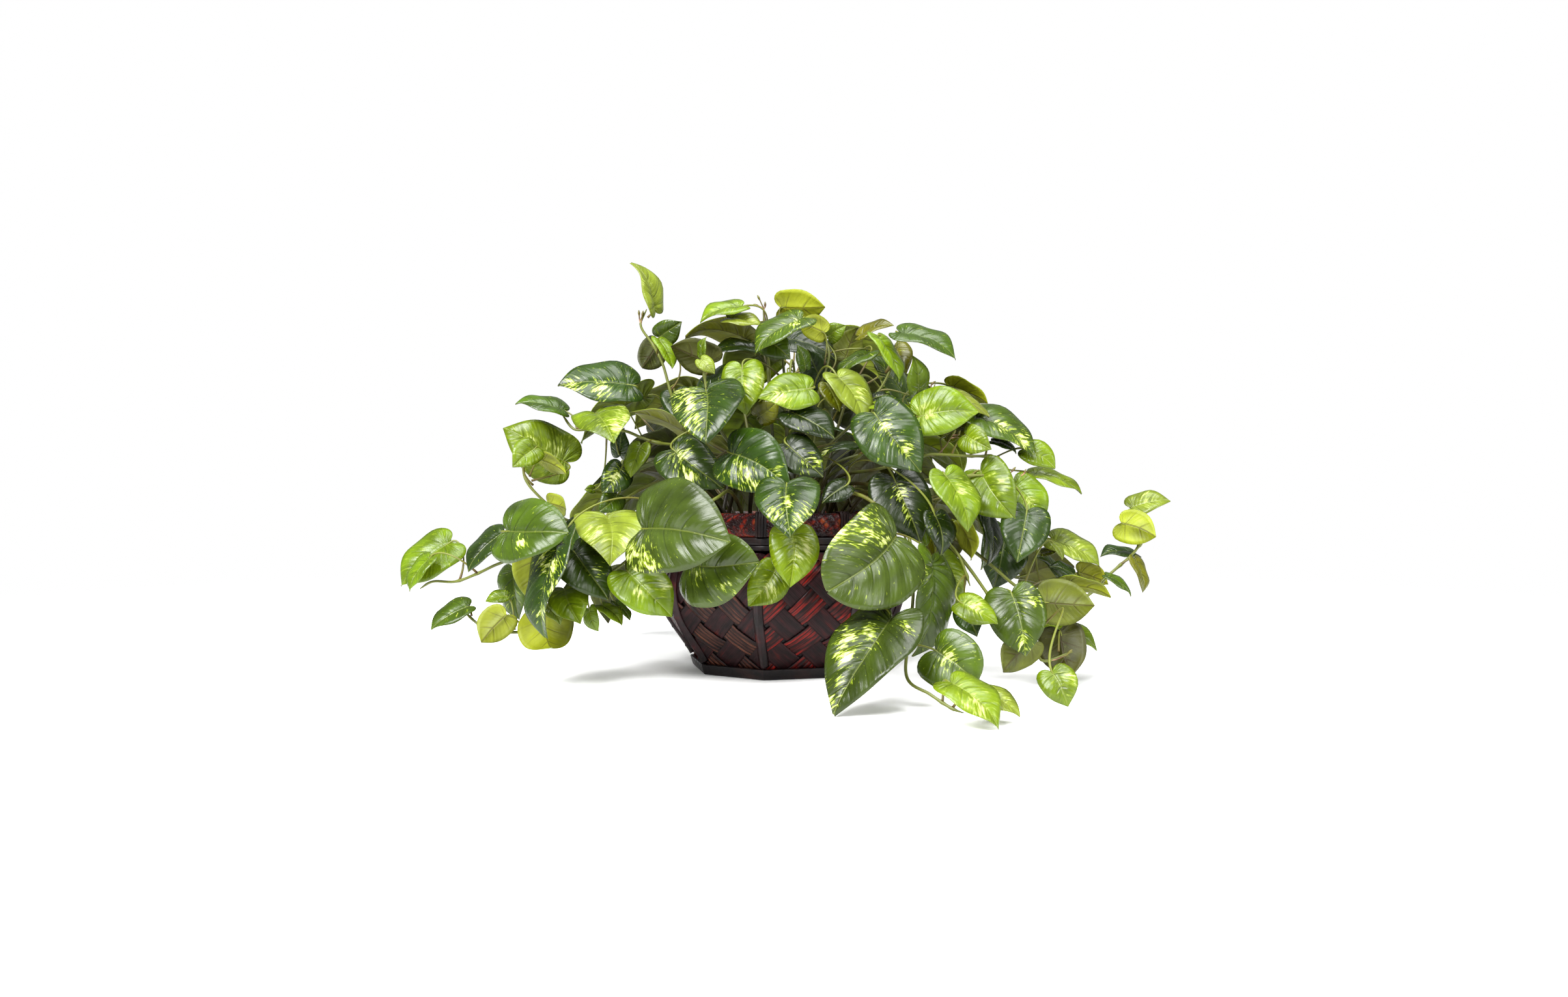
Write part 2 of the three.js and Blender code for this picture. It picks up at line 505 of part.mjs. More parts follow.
const MARGIN_STEPS = { small: [0.28, 0.66], middle: [0.2, 0.46, 0.75], large: [0.18, 0.4, 0.62, 0.82] };
const MIDRIB_STEPS = { small: [], middle: [0.45], large: [0.33, 0.66] };

// Sections of stems and petioles, as multiples of their radius. A triangle names its lower
// corner twice, so that it joins the four corners of a blade's notch.
const TRIANGLE = [[0.95, 0.6], [0, -1], [0, -1], [-0.95, 0.6]];
const NOTCH = [[1, 1], [1, -1], [-1, -1], [-1, 1]];

function ring(section, centre, side, other, radius) {
  return section.map(([a, b]) => centre.clone()
    .addScaledVector(side, a * radius)
    .addScaledVector(other, b * radius));
}

function ringSides(rings) {
  const corners = [];
  for (let k = 0; k < rings.length - 1; k += 1) {
    const [here, next] = [rings[k], rings[k + 1]];
    here.forEach((corner, c) => {
      const d = (c + 1) % here.length;
      corners.push(corner, here[d], next[d], corner, next[d], next[c]);
    });
  }
  return corners;
}

function ringCaps(rings) {
  const [first, last] = [rings[0], rings[rings.length - 1]];
  return [first[0], first[3], first[2], first[0], first[2], first[1],
    last[0], last[1], last[2], last[0], last[2], last[3]];
}

function looseGeometry(corners) {
  const geometry = new THREE.BufferGeometry();
  const numbers = corners.flatMap((corner) => corner.toArray());
  geometry.setAttribute('position', new THREE.Float32BufferAttribute(numbers, 3));
  return geometry;
}

// The petiole's sections, turned as little as they can be from the blade back to the stem.
function petioleRings(blade, corners) {
  const rings = [];
  let side = blade.side;
  for (let i = corners.length - 2; i >= 0; i -= 1) {
    const along = corners[i + 1].clone().sub(corners[Math.max(i - 1, 0)]).normalize();
    side = side.clone().addScaledVector(along, -side.dot(along)).normalize();
    rings.unshift(ring(TRIANGLE, corners[i], side, side.clone().cross(along), PETIOLE_RADIUS));
  }
  return rings;
}

// One blade with its petiole as a solid. Both faces of the blade are split alike, so they
// never cross, and the petiole's last ring is the blade's edge at the notch.
function leafSolid(blade, petiole) {
  const size = blade.length < 40 ? 'small' : blade.length < 72 ? 'middle' : 'large';
  const neck = PETIOLE_RADIUS / (blade.width / 2);
  const margin = [...MARGIN_STEPS[size].map(outlineAt), [1, 0]];
  const inner = [[0, neck], ...MIDRIB_STEPS[size].map((along) => [along, 0]), [1, 0]];
  const positions = [];
  const add = (...points) => positions.push(...points);
  const at = ([along, across], up) =>
    bladePoint(blade, along, across).addScaledVector(blade.normal, (up * BLADE_THICK) / 2);
  const sheet = [];
  for (const hand of [1, -1]) {
    const corner = ([along, across]) => [along, across * hand];
    let [i, j] = [0, 0];
    while (i < inner.length - 2 || j < margin.length - 1) {
      const alongMargin = j < margin.length - 1
        && (i >= inner.length - 2 || margin[j + 1][0] <= inner[i + 1][0]);
      const triangle = [inner[i], margin[j], alongMargin ? margin[j + 1] : inner[i + 1]].map(corner);
      sheet.push(hand > 0 ? triangle : triangle.reverse());
      if (alongMargin) j += 1;
      else i += 1;
    }
  }
  sheet.push([[0, neck], inner[1], [0, -neck]]);
  for (const triangle of sheet) {
    add(...triangle.map((corner) => at(corner, 1)));
    add(...[...triangle].reverse().map((corner) => at(corner, -1)));
  }
  const mirrored = margin.slice(0, -1).map(([along, across]) => [along, -across]).reverse();
  const rim = [[0, neck], ...margin, ...mirrored, [0, -neck]];
  for (let k = 0; k < rim.length - 1; k += 1) {
    const [corner, next] = [rim[k], rim[k + 1]];
    add(at(corner, 1), at(corner, -1), at(next, -1));
    add(at(corner, 1), at(next, -1), at(next, 1));
  }
  const notch = NOTCH.map(([across, up]) => at([0, across * neck], up));
  const rings = [...petioleRings(blade, petiole.corners), notch];
  const [first] = rings;
  add(...ringSides(rings), first[0], first[3], first[2], first[0], first[2], first[1]);
  return solid(looseGeometry(positions));
}

// ---- Hidden stems ------------------------------------------------------------------------

function hiddenVine(order) {
  const share = fraction((order + HIDDEN_SEED) * GOLDEN);
  const degrees = HIDDEN_FROM + ((HIDDEN_TO - HIDDEN_FROM) * (order + 0.5)) / HIDDEN_VINES;
  const outwards = vec(Math.sin(radians(degrees)), -Math.cos(radians(degrees)), 0);
  const reach = within(HIDDEN_REACH, share);
  const top = within(HIDDEN_TOP, share);
  const root = [degrees, within(HIDDEN_ROOT, share)];
  const points = [
    ...stemStart(root),
    outwards.clone().multiplyScalar(HIDDEN_BEND * reach).setZ(top),
    outwards.clone().multiplyScalar(reach).setZ(top - within(HIDDEN_DROP, share)),
  ];
  const stem = stemLine(points);
  const sideways = outwards.clone().cross(UP);
  const blades = [];
  for (let k = 0; k < HIDDEN_BLADES; k += 1) {
    if (BARE_JOINTS.some(([bareOrder, bareBlade]) => bareOrder === order && bareBlade === k)) continue;
    const last = k === HIDDEN_BLADES - 1;
    const hand = last ? 0 : (k % 2) * 2 - 1;
    const turn = fraction((order * HIDDEN_BLADES + k) * GOLDEN);
    const length = within(HIDDEN_LENGTH, fraction((order + k) * GOLDEN));
    const base = stem.smooth.getPoint(HIDDEN_BARE + ((1 - HIDDEN_BARE) * (k + 1)) / HIDDEN_BLADES)
      .addScaledVector(sideways, hand * within(HIDDEN_ASIDE, turn))
      .addScaledVector(outwards, within(HIDDEN_OUT, turn))
      .addScaledVector(UP, last ? HIDDEN_LAST_UP : within(HIDDEN_UP, turn));
    const axis = vec(0, 0, -within(HIDDEN_AXIS.down, turn))
      .addScaledVector(outwards, HIDDEN_AXIS.out)
      .addScaledVector(sideways, hand * HIDDEN_AXIS.aside)
      .normalize();
    const tip = base.clone().addScaledVector(axis, length);
    const normal = UP.clone().addScaledVector(outwards, HIDDEN_TILT);
    blades.push(bladeFrom(base, tip, BROAD * length, normal));
  }
  return { name: `vine_back_${order + 1}`, root, stem, blades, hidden: true };
}

// ---- Placing -----------------------------------------------------------------------------

function cloud(points, owner) {
  const centre = points.reduce((sum, point) => sum.add(point), vec(0, 0, 0));
  centre.divideScalar(points.length);
  const radius = Math.max(...points.map((point) => point.distanceTo(centre)));
  return { points, centre, radius, owner };
}

// The least distance between two clouds, or the limit where they lie further apart.
function nearest(one, other, limit) {
  if (one.centre.distanceTo(other.centre) > one.radius + other.radius + limit) return limit;
  let least = limit * limit;
  for (const a of one.points) {
    if (a.distanceTo(other.centre) > other.radius + limit) continue;
    for (const b of other.points) {
      const apart = a.distanceToSquared(b);
      if (apart < least) least = apart;
    }
  }
  return Math.sqrt(least);
}

// Whether points keep clear of the planter and of what it stands on.
function standsClear(points) {
  return points.every((point) => {
    if (point.z < TABLE_CLEAR) return false;
    const clear = wallRadius(point.z) + RIB_THICK + PLANTER_CLEAR;
    return point.z > RIM_CLEAR_HEIGHT || Math.hypot(point.x, point.y) > clear;
  });
}

// The blade moved along its line of sight, so that the eye sees it as before.
function shifted(blade, towardsEye) {
  const away = blade.base.y - EYE.y;
  const scale = (away - towardsEye) / away;
  const base = EYE.clone().addScaledVector(blade.base.clone().sub(EYE), scale);
  return { ...blade, base, length: blade.length * scale, width: blade.width * scale };
}

const isOutOfPlanter = (point) =>
  point.z > RIM_CLEAR_HEIGHT || Math.hypot(point.x, point.y) > RIM_BAND.outside;

// Blades are placed from the front to the back, each at its first clear place.
function placeBlades(vines) {
  const placed = vines.map((vine) => {
    return { ...cloud(vine.stem.dense.filter(isOutOfPlanter), vine), stem: true };
  });
  const order = vines.flatMap((vine) => vine.blades.map((blade, index) => ({ vine, index, blade })));
  order.sort((a, b) => a.blade.base.y - b.blade.base.y);
  for (const { vine, index, blade } of order) {
    let best = { room: -1 };
    for (const shift of SHIFTS) {
      const moved = shifted(blade, shift);
      const own = cloud(bladeSamples(moved), vine);
      if (!standsClear(own.points)) continue;
      const outer = cloud(farFrom(own.points, moved.base, JOINT_REACH), vine);
      let room = 1;
      for (const other of placed) {
        const wanted = other.stem ? STEM_CLEAR : BLADE_CLEAR;
        const tested = other.stem && other.owner === vine ? outer : own;
        room = Math.min(room, nearest(tested, other, wanted) / wanted);
        if (room <= best.room) break;
      }
      if (room > best.room) best = { room, moved, own };
      if (room === 1) break;
    }
    if (!best.moved) throw new Error(`${vine.name} blade ${index} meets the planter or the table`);
    vine.blades[index] = best.moved;
    placed.push({ ...best.own, blade: best.moved });
  }
  return placed;
}

const farFrom = (points, centre, reach) => points.filter((point) => point.distanceTo(centre) > reach);

// A petiole leaves the stem near the blade and bends into the blade's midrib.
function petioleLine(vine, blade, back, lift, aside) {
  const along = vine.stem.dense.filter(isOutOfPlanter);
  const end = blade.base;
  let at = 0;
  along.forEach((point, i) => {
    if (point.distanceTo(end) < along[at].distanceTo(end)) at = i;
  });
  const start = along[Math.min(Math.max(at - back, 0), along.length - 1)];
  const span = start.distanceTo(end);
  const across = end.clone().sub(start).cross(UP).normalize();
  const leave = start.clone().lerp(end, PETIOLE_BEND)
    .addScaledVector(UP, lift * span)
    .addScaledVector(across, aside * span);
  const arrive = end.clone().addScaledVector(blade.axis, -PETIOLE_BEND * span);
  const smooth = new THREE.CubicBezierCurve3(start, leave, arrive, end);
  const steps = Math.max(1, Math.round((1.1 * span) / PETIOLE_STEP));
  return straightLengths(smooth.getPoints(steps), PETIOLE_PARTS);
}

const BACKS = [2, 5, 0, 8, -2, 12, 16, 22];
const LIFTS = [0.25, 0, 0.5, -0.25, 0.8];
const ASIDES = [0, 0.3, -0.3, 0.6, -0.6];

// Petioles are placed after all blades, each with the first bend that is clear.
function placePetioles(vines, placed) {
  const bends = BACKS.flatMap((back) =>
    LIFTS.flatMap((lift) => ASIDES.map((aside) => [back, lift, aside])));
  for (const vine of vines) {
    vine.leaves = vine.blades.flatMap((blade, index) => {
      const ownBlade = cloud(farFrom(bladeSamples(blade), blade.base, JOINT_REACH), vine);
      let best = { room: -1 };
      for (const bend of bends) {
        const petiole = petioleLine(vine, blade, ...bend);
        const all = petiole.dense;
        if (all[0].distanceTo(blade.base) < SHORTEST_PETIOLE) continue;
        if (!standsClear(all)) continue;
        const own = cloud(all, vine);
        const outer = cloud(farFrom(all, all[0], PETIOLE_JOINT), vine);
        let room = Math.min(1, nearest(own, ownBlade, PETIOLE_CLEAR_OF_STEM) / PETIOLE_CLEAR_OF_STEM);
        for (const other of placed) {
          if (room <= best.room) break;
          if (other.blade === blade || (other.owner === vine && other.stem)) continue;
          const tested = other.owner === vine && !other.blade ? outer : own;
          const wanted = other.blade ? PETIOLE_CLEAR_OF_BLADE : PETIOLE_CLEAR_OF_STEM;
          room = Math.min(room, nearest(tested, other, wanted) / wanted);
        }
        if (room > best.room) best = { room, petiole, own: outer };
        if (room === 1) break;
      }
      if (!best.petiole) throw new Error(`${vine.name} blade ${index} has no way for its petiole`);
      if (vine.hidden && best.room < HIDDEN_ROOM) return [];
      placed.push(best.own);
      return [{ blade, petiole: best.petiole }];
    });
  }
}

// ---- The plant ---------------------------------------------------------------------------

// A slim tube through the corners, with its section turned as little as it can be.
function stemSolid(corners, radius) {
  const rings = [];
  let side = vec(1, 0, 0);
  corners.forEach((corner, i) => {
    const before = corners[Math.max(i - 1, 0)];
    const after = corners[Math.min(i + 1, corners.length - 1)];
    const along = after.clone().sub(before).normalize();
    side = side.clone().addScaledVector(along, -side.dot(along)).normalize();
    const other = side.clone().cross(along);
    rings.push(ring(TRIANGLE, corner, side, other, radius));
  });
  return solid(looseGeometry([...ringSides(rings), ...ringCaps(rings)]));
}

function leafyStem(vine) {
  let body = stemSolid([rootPoint(vine.root, -ROOT_DEPTH), ...vine.stem.corners], STEM_RADIUS);
  vine.leaves.forEach(({ blade, petiole }) => {
    body = body.add(leafSolid(blade, petiole));
  });
  return geometryOf(body);
}

const MATERIALS = {
  bamboo: { color: 0x3a1f18, roughness: 0.45, metalness: 0 },
  rib: { color: 0x5a2419, roughness: 0.4, metalness: 0 },
  red: { color: 0xa33a22, roughness: 0.35, metalness: 0 },
  dark: { color: 0x1f1512, roughness: 0.5, metalness: 0 },
  liner: { color: 0x1a1a1a, roughness: 0.6, metalness: 0 },
  soil: { color: 0x2a1f17, roughness: 1, metalness: 0 },
  leaf: { color: 0x5d8a2f, roughness: 0.4, metalness: 0 },
};

const part = new THREE.Group();

function addPiece(name, geometry, look) {
  const mesh = new THREE.Mesh(geometry, new THREE.MeshStandardMaterial(MATERIALS[look]));
  mesh.name = name;
  part.add(mesh);
}

addPiece('planter_wall', wall(), 'bamboo');
addPiece('planter_base_ring', baseRing(), 'dark');
addPiece('planter_board', board(), 'dark');
addPiece('planter_lower_band', band(LOWER_BAND), 'dark');
addPiece('planter_rim_band', band(RIM_BAND), 'red');
const ribs = ribRing();
const lashings = lashingRing();
for (let corner = 0; corner < CORNERS; corner += 1) {
  addPiece(`planter_rib_${corner + 1}`, cornerStrip(ribs, corner, RIB_WIDTH), 'rib');
  addPiece(`planter_lashing_${corner + 1}`, cornerStrip(lashings, corner, LASHING_WIDTH), 'dark');
}

const vines = VINES.map(([name, root, seen, blades]) => ({
  name,
  root,
  stem: stemLine([...stemStart(root), ...seen.map((point) => seenAt(...point))]),
  blades: blades.map(seenBlade),
}));
for (let order = 0; order < HIDDEN_VINES; order += 1) vines.push(hiddenVine(order));
const placed = placeBlades(vines);
placePetioles(vines, placed);

addPiece('liner_pot', liner(), 'liner');
addPiece('soil', soil(vines.map((vine) => vine.root)), 'soil');
for (const vine of vines) addPiece(vine.name, leafyStem(vine), 'leaf');

export default part;
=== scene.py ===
# A potted pothos: leafy, variegated stems in soil, in a black liner pot that stands inside an
# octagonal planter of plaited and lacquered bamboo. Sizes are in millimetres, and the front
# of the plant looks along -Y.
import math

import bmesh
import bpy
import numpy as np
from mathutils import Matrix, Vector
from mathutils.bvhtree import BVHTree
from mathutils.kdtree import KDTree


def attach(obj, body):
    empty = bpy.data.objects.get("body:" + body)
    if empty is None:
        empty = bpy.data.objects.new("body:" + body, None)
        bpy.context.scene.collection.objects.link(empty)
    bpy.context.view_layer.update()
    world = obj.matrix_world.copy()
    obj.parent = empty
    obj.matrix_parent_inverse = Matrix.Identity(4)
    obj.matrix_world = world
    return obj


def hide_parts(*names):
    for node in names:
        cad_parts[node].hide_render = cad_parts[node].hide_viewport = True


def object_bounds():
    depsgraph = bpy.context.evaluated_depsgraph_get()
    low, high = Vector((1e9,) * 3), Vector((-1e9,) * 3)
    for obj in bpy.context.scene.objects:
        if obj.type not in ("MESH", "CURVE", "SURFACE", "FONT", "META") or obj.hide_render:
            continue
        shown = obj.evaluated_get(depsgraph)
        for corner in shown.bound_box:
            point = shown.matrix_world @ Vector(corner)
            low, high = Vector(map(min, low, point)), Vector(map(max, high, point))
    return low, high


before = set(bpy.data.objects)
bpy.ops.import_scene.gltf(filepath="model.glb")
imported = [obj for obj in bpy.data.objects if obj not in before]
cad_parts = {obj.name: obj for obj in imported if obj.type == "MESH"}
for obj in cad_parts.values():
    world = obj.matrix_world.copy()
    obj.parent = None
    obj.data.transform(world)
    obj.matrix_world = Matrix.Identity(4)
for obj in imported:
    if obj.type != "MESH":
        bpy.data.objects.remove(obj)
solid_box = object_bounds()

# ---- Viewpoint ---------------------------------------------------------------------------
# A level camera in front of the plant, a little above the planter's rim. EYE sees VIEW_CENTRE
# straight ahead, and one millimetre at the planter's axis spans VIEW_SCALE units of the view,
# which is VIEW_WIDTH units wide.
EYE = np.array([5.0, -1050.0, 160.0])
VIEW_CENTRE = (1204, 765.5)
VIEW_SCALE = 1.61
VIEW_WIDTH = 2408
SENSOR = 36
NEAREST_SEEN = 50
MM = 0.001

camera = bpy.data.objects.new("camera", bpy.data.cameras.new("camera"))
camera.data.sensor_width = SENSOR
camera.data.lens = SENSOR * VIEW_SCALE * -EYE[1] / VIEW_WIDTH
camera.data.clip_start = NEAREST_SEEN * MM
camera.location = EYE * MM
camera.rotation_euler = (math.pi / 2, 0, 0)
bpy.context.scene.collection.objects.link(camera)
bpy.context.scene.camera = camera

# ---- Base ring and board -----------------------------------------------------------------
# A ring of split bamboo round the foot, pinned with short pegs of cane, and a plain board
# inside it. Both are stained nearly black, and the ring has a satin lacquer over the stain.
CORNERS = 8
FIRST_CORNER = math.radians(-8.7)  # from the front towards +X
HALF_SIDE = math.pi / CORNERS
BASE_RADII = (79.9, 82.9)  # corner radius of the wall at the foot and at the ring's top
BASE_HEIGHT = 9.7
BASE_THICK = 3.8
BASE_ROUNDING = 1.6
BASE_STEPS = 60  # along each side of the octagon
PEG_STEP = 12.5
PEG_WIDE = 1.8
PEG_LOW, PEG_HIGH = 5, 9
PEG_PROUD = 1.006  # its distance from the axis, against the ring's
MOST_ROUNDED = 0.45  # share of a side that a rounded corner may take up
FIBRE_SHOWS = 0.55  # how far the fibres darken the wash
WASH_CLOUDS = 0.045  # per millimetre: clouds about 22 mm wide
TIMES, PLUS = {"operation": "MULTIPLY"}, {"operation": "ADD"}  # settings of the materials' nodes
TIMES_PLUS, ZIGZAG = {"operation": "MULTIPLY_ADD"}, {"operation": "PINGPONG"}
SIZE, LENGTH, GREATER = {"operation": "ABSOLUTE"}, {"operation": "LENGTH"}, {"operation": "MAXIMUM"}
BLEND, TINT = {"data_type": "RGBA"}, {"data_type": "RGBA", "blend_type": "MULTIPLY"}


def linear(code):
    """An sRGB hex colour as linear red, green, blue and 1."""
    shares = [int(code[i:i + 2], 16) / 255 for i in (1, 3, 5)]
    return [v / 12.92 if v <= 0.04045 else ((v + 0.055) / 1.055) ** 2.4 for v in shares] + [1]


def add(material, kind, settings=None, sockets=None, ramp=None):
    """Adds a node with its settings, its sockets' values or links, and its ramp's colours.

    The sockets come by name, or as a list for those that the node shows, in their order.
    """
    node = material.node_tree.nodes.new("ShaderNode" + kind)
    for name, value in (settings or {}).items():
        setattr(node, name, value)
    if isinstance(sockets, list):
        pairs = zip([socket for socket in node.inputs if socket.enabled], sockets)
    else:
        pairs = [(node.inputs[name], value) for name, value in (sockets or {}).items()]
    for socket, value in pairs:
        if isinstance(value, bpy.types.NodeSocket):
            material.node_tree.links.new(value, socket)
        else:
            socket.default_value = value
    for i, (place, colour) in enumerate(ramp or []):
        stop = node.color_ramp.elements[i] if i < 2 else node.color_ramp.elements.new(place)
        stop.position = place
        stop.color = linear(colour)
    return next((output for output in node.outputs if output.enabled), node)


def new_material(name):
    material = bpy.data.materials.new(name)
    material.use_nodes = True
    material.node_tree.nodes.clear()
    return material


def solid_piece(name, points, faces, material, smooth=True):
    """A mesh object from points in millimetres."""
    mesh = bpy.data.meshes.new(name)
    mesh.from_pydata((np.asarray(points) * MM).tolist(), [], faces)
    mesh.polygons.foreach_set("use_smooth", [smooth] * len(mesh.polygons))
    mesh.materials.append(material)
    piece = bpy.data.objects.new(name, mesh)
    bpy.context.scene.collection.objects.link(piece)
    return piece


def write_down(piece, name, values, kind="FLOAT_VECTOR"):
    """Keeps one value for each point of a piece, for its material."""
    attribute = piece.data.attributes.new(name, kind, "POINT")
    field = {"FLOAT": "value", "FLOAT_VECTOR": "vector", "FLOAT_COLOR": "color"}[kind]
    attribute.data.foreach_set(field, np.asarray(values, dtype=np.float32).ravel())


def fit(piece, slot, *nodes):
    """The piece stands still in the part and stands for nodes. The slot is not used."""
    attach(piece, "root")
    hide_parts(*nodes)


def net(rows, columns, round_rows=False, round_columns=False, first=0):
    """The four-sided faces of a net of points, which may close on itself either way."""
    faces = []
    for r in range(rows if round_rows else rows - 1):
        for c in range(columns if round_columns else columns - 1):
            d, q = (c + 1) % columns, (r + 1) % rows
            faces.append([first + r * columns + c, first + r * columns + d,
                          first + q * columns + d, first + q * columns + c])
    return faces


def out_at(angle):
    """The level direction at an angle from the front towards +X."""
    return np.array([math.sin(angle), -math.cos(angle), 0])


def octagonal(profile, steps):
    """A closed profile of [radius, z] carried round the octagon, each side in steps.

    It gives the points, how far round and how high each of them is, and the faces.
    """
    points, run = [], []
    for side in range(CORNERS):
        here = out_at(FIRST_CORNER + 2 * HALF_SIDE * side)
        there = out_at(FIRST_CORNER + 2 * HALF_SIDE * (side + 1))
        for k in range(steps):
            across = here + (there - here) * k / steps
            for radius, z in profile:
                points.append(across * radius + [0, 0, z])
                run.append(((side + k / steps) * 2 * math.sin(HALF_SIDE) * radius, z, 0))
    return np.array(points), np.array(run), net(CORNERS * steps, len(profile), True, True)


def rounded(corners, radius, parts=4):
    """A closed outline with each of its corners rounded off."""
    corners = np.array(corners, float)
    outline = []
    for before, corner, after in zip(np.roll(corners, 1, 0), corners, np.roll(corners, -1, 0)):
        one, two = (corner + (end - corner) * min(radius / np.linalg.norm(end - corner), MOST_ROUNDED)
                    for end in (before, after))
        for k in range(parts + 1):
            t = k / parts
            outline.append((1 - t) ** 2 * one + 2 * t * (1 - t) * corner + t ** 2 * two)
    return outline


def lacquered_bamboo(name, dark, brown, red, roughness, fibres_per_mm):
    """Split bamboo, stained and lacquered: fine fibres along it under a wash that clouds to red."""
    material = new_material(name)
    run = add(material, "Attribute", {"attribute_name": "run"}).node.outputs["Vector"]
    stretched = add(material, "VectorMath", TIMES, [run, fibres_per_mm])
    fibres = add(material, "TexNoise", None, {"Vector": stretched, "Scale": 1.0, "Detail": 4.0})
    clouds = add(material, "TexNoise", None, {"Vector": run, "Scale": WASH_CLOUDS, "Detail": 3.0})
    wash = add(material, "ValToRGB", None, {"Fac": clouds}, [(0.42, dark), (0.62, brown), (0.78, red)])
    grain = add(material, "ValToRGB", None, {"Fac": fibres}, [(0.35, "#0f0b0b"), (0.7, "#ffffff")])
    colour = add(material, "Mix", TINT, [FIBRE_SHOWS, wash, grain])
    gloss = add(material, "MapRange", None, [fibres, 0, 1, roughness - 0.08, roughness + 0.12])
    bump = add(material, "Bump", None, {"Strength": 0.35, "Distance": 0.0004, "Height": fibres})
    shader = add(material, "BsdfPrincipled", None, {
        "Base Color": colour, "Roughness": gloss, "Normal": bump, "Specular IOR Level": 0.2})
    add(material, "OutputMaterial", None, {"Surface": shader})
    return material


def bamboo_piece(name, points, run, faces, material, slot, node):
    """A piece of bamboo, with its length and width at each point, that stands for a node."""
    piece = solid_piece(name, points, faces, material)
    write_down(piece, "run", run)
    fit(piece, slot, node)
    return piece


# Nearly black bamboo with a satin glint, and with fibres 20 mm long and 0.8 mm wide.
DARK_BAMBOO = lacquered_bamboo("dark_lacquered_bamboo", "#100b0c", "#221311", "#381914", 0.38,
                               (0.05, 1.3, 1.3))
low_in, high_in = BASE_RADII
ring_outline = rounded([[low_in, 0], [low_in + BASE_THICK, 0], [high_in + BASE_THICK, BASE_HEIGHT],
                        [high_in, BASE_HEIGHT]], BASE_ROUNDING)
points, run, faces = octagonal(ring_outline, BASE_STEPS)
outer = np.tile([radius > high_in + BASE_THICK / 2 for radius, z in ring_outline], CORNERS * BASE_STEPS)
peg = np.abs(run[:, 0] % PEG_STEP - PEG_STEP / 2) < PEG_WIDE / 2
high_up = (run[:, 1] > PEG_LOW) & (run[:, 1] < PEG_HIGH)
points[peg & high_up & outer, :2] *= PEG_PROUD
bamboo_piece("planter_foot_ring", points, run, faces, DARK_BAMBOO, "dark_bamboo", "planter_base_ring")

# Sawn wood, stained dark and left matt, with grain 17 mm long and 1.1 mm wide.
BOARD_WOOD = new_material("dark_stained_board")
BOARD_GRAIN = (60, 900, 900)  # per metre
coordinates = add(BOARD_WOOD, "TexCoord").node.outputs["Object"]
grain = add(BOARD_WOOD, "VectorMath", TIMES, [coordinates, BOARD_GRAIN])
grain = add(BOARD_WOOD, "TexNoise", None, {"Vector": grain, "Scale": 1.0, "Detail": 4.0})
colour = add(BOARD_WOOD, "ValToRGB", None, {"Fac": grain}, [(0.3, "#0e0a08"), (0.7, "#271914")])
bump = add(BOARD_WOOD, "Bump", None, {"Strength": 0.4, "Distance": 0.0005, "Height": grain})
shader = add(BOARD_WOOD, "BsdfPrincipled", None,
             {"Base Color": colour, "Roughness": 0.6, "Normal": bump})
add(BOARD_WOOD, "OutputMaterial", None, {"Surface": shader})
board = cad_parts["planter_board"]
board.data.materials.clear()
board.data.materials.append(BOARD_WOOD)

# ---- Woven wall --------------------------------------------------------------------------
# Flat strips of bamboo plaited on the slant, over one and under one, on a bowl-shaped octagonal
# form. On each side the strips that lean one way are five reeds wide and washed with red or
# brown, and the others are plain and dark. Small dark gaps stay open where they cross.
WALL_OUTSIDE = [  # corner radius and height, from the foot to the shoulder
    [80, 1], [83, 10], [90.5, 22], [108.5, 47], [115.5, 65], [117.5, 83], [113.5, 100],
    [102.5, 113.3],
]
STRIP_PITCH = 24.6
STRIP_WIDTH = 20.6
STRIP_THICK = 0.8
STRIP_RIDGES = 5
RIDGE_HEIGHT = (0.12, 0.62)  # of the plain strips and of the strips of reeds
STRIP_LIFT = 0.85  # how far a strip goes over or under the middle of the wall
STRIP_TURN = 1.9  # how sharply a strip goes from over to under
STRIP_STEP = 2.2  # between the points along a strip
STRIP_SPARE = 12  # how far a strip runs on past its side before it is trimmed
SIDE_SPARE = 1.06  # how wide the strips take a side to be, against its real width
SHORTEST_STRIP = 26
WALL_MIDDLE = -1.5  # middle of the plait, from the wall's outside
WALL_POINTS = 160  # up the wall
TRIM = 0.2  # how far under the shoulder the strips end
FIRST_CROSSING = 4  # up the wall from its foot
RIDGE_POINTS = 21
LINING_DEPTH = 3.4  # from the wall's outside
LINING_THICK = 0.5
LINING_STEPS = 4
STRIP_MARK = 37.7  # between the marks that tell the strips apart
SIDE_MARK = 611.3  # and the sides


def run_along(line):
    """How far along a line each of its points is."""
    return np.concatenate([[0], np.cumsum(np.linalg.norm(np.diff(line, axis=0), axis=1))])


def slope_of(line):
    """The direction of a line at each of its points."""
    slope = np.gradient(line, axis=0)
    return slope / np.linalg.norm(slope, axis=1)[:, None]


def points_at(places, run, line):
    """Points of a line at places along it."""
    return np.stack([np.interp(places, run, values) for values in line.T], axis=-1)


def spline(points, count):
    """Evenly spaced points of a smooth curve through the points."""
    points = np.array(points, float)
    ends = [2 * points[0] - points[1], *points, 2 * points[-1] - points[-2]]
    line = []
    for i in range(1, len(ends) - 2):
        a, b, c, d = ends[i - 1:i + 3]
        t = np.linspace(0, 1, 40, endpoint=False)[:, None]
        line.append(b + 0.5 * t * (c - a + t * (2 * a - 5 * b + 4 * c - d + t * (3 * (b - c) + d - a))))
    line = np.vstack([*line, points[-1]])
    run = run_along(line)
    return points_at(np.linspace(0, run[-1], count), run, line)


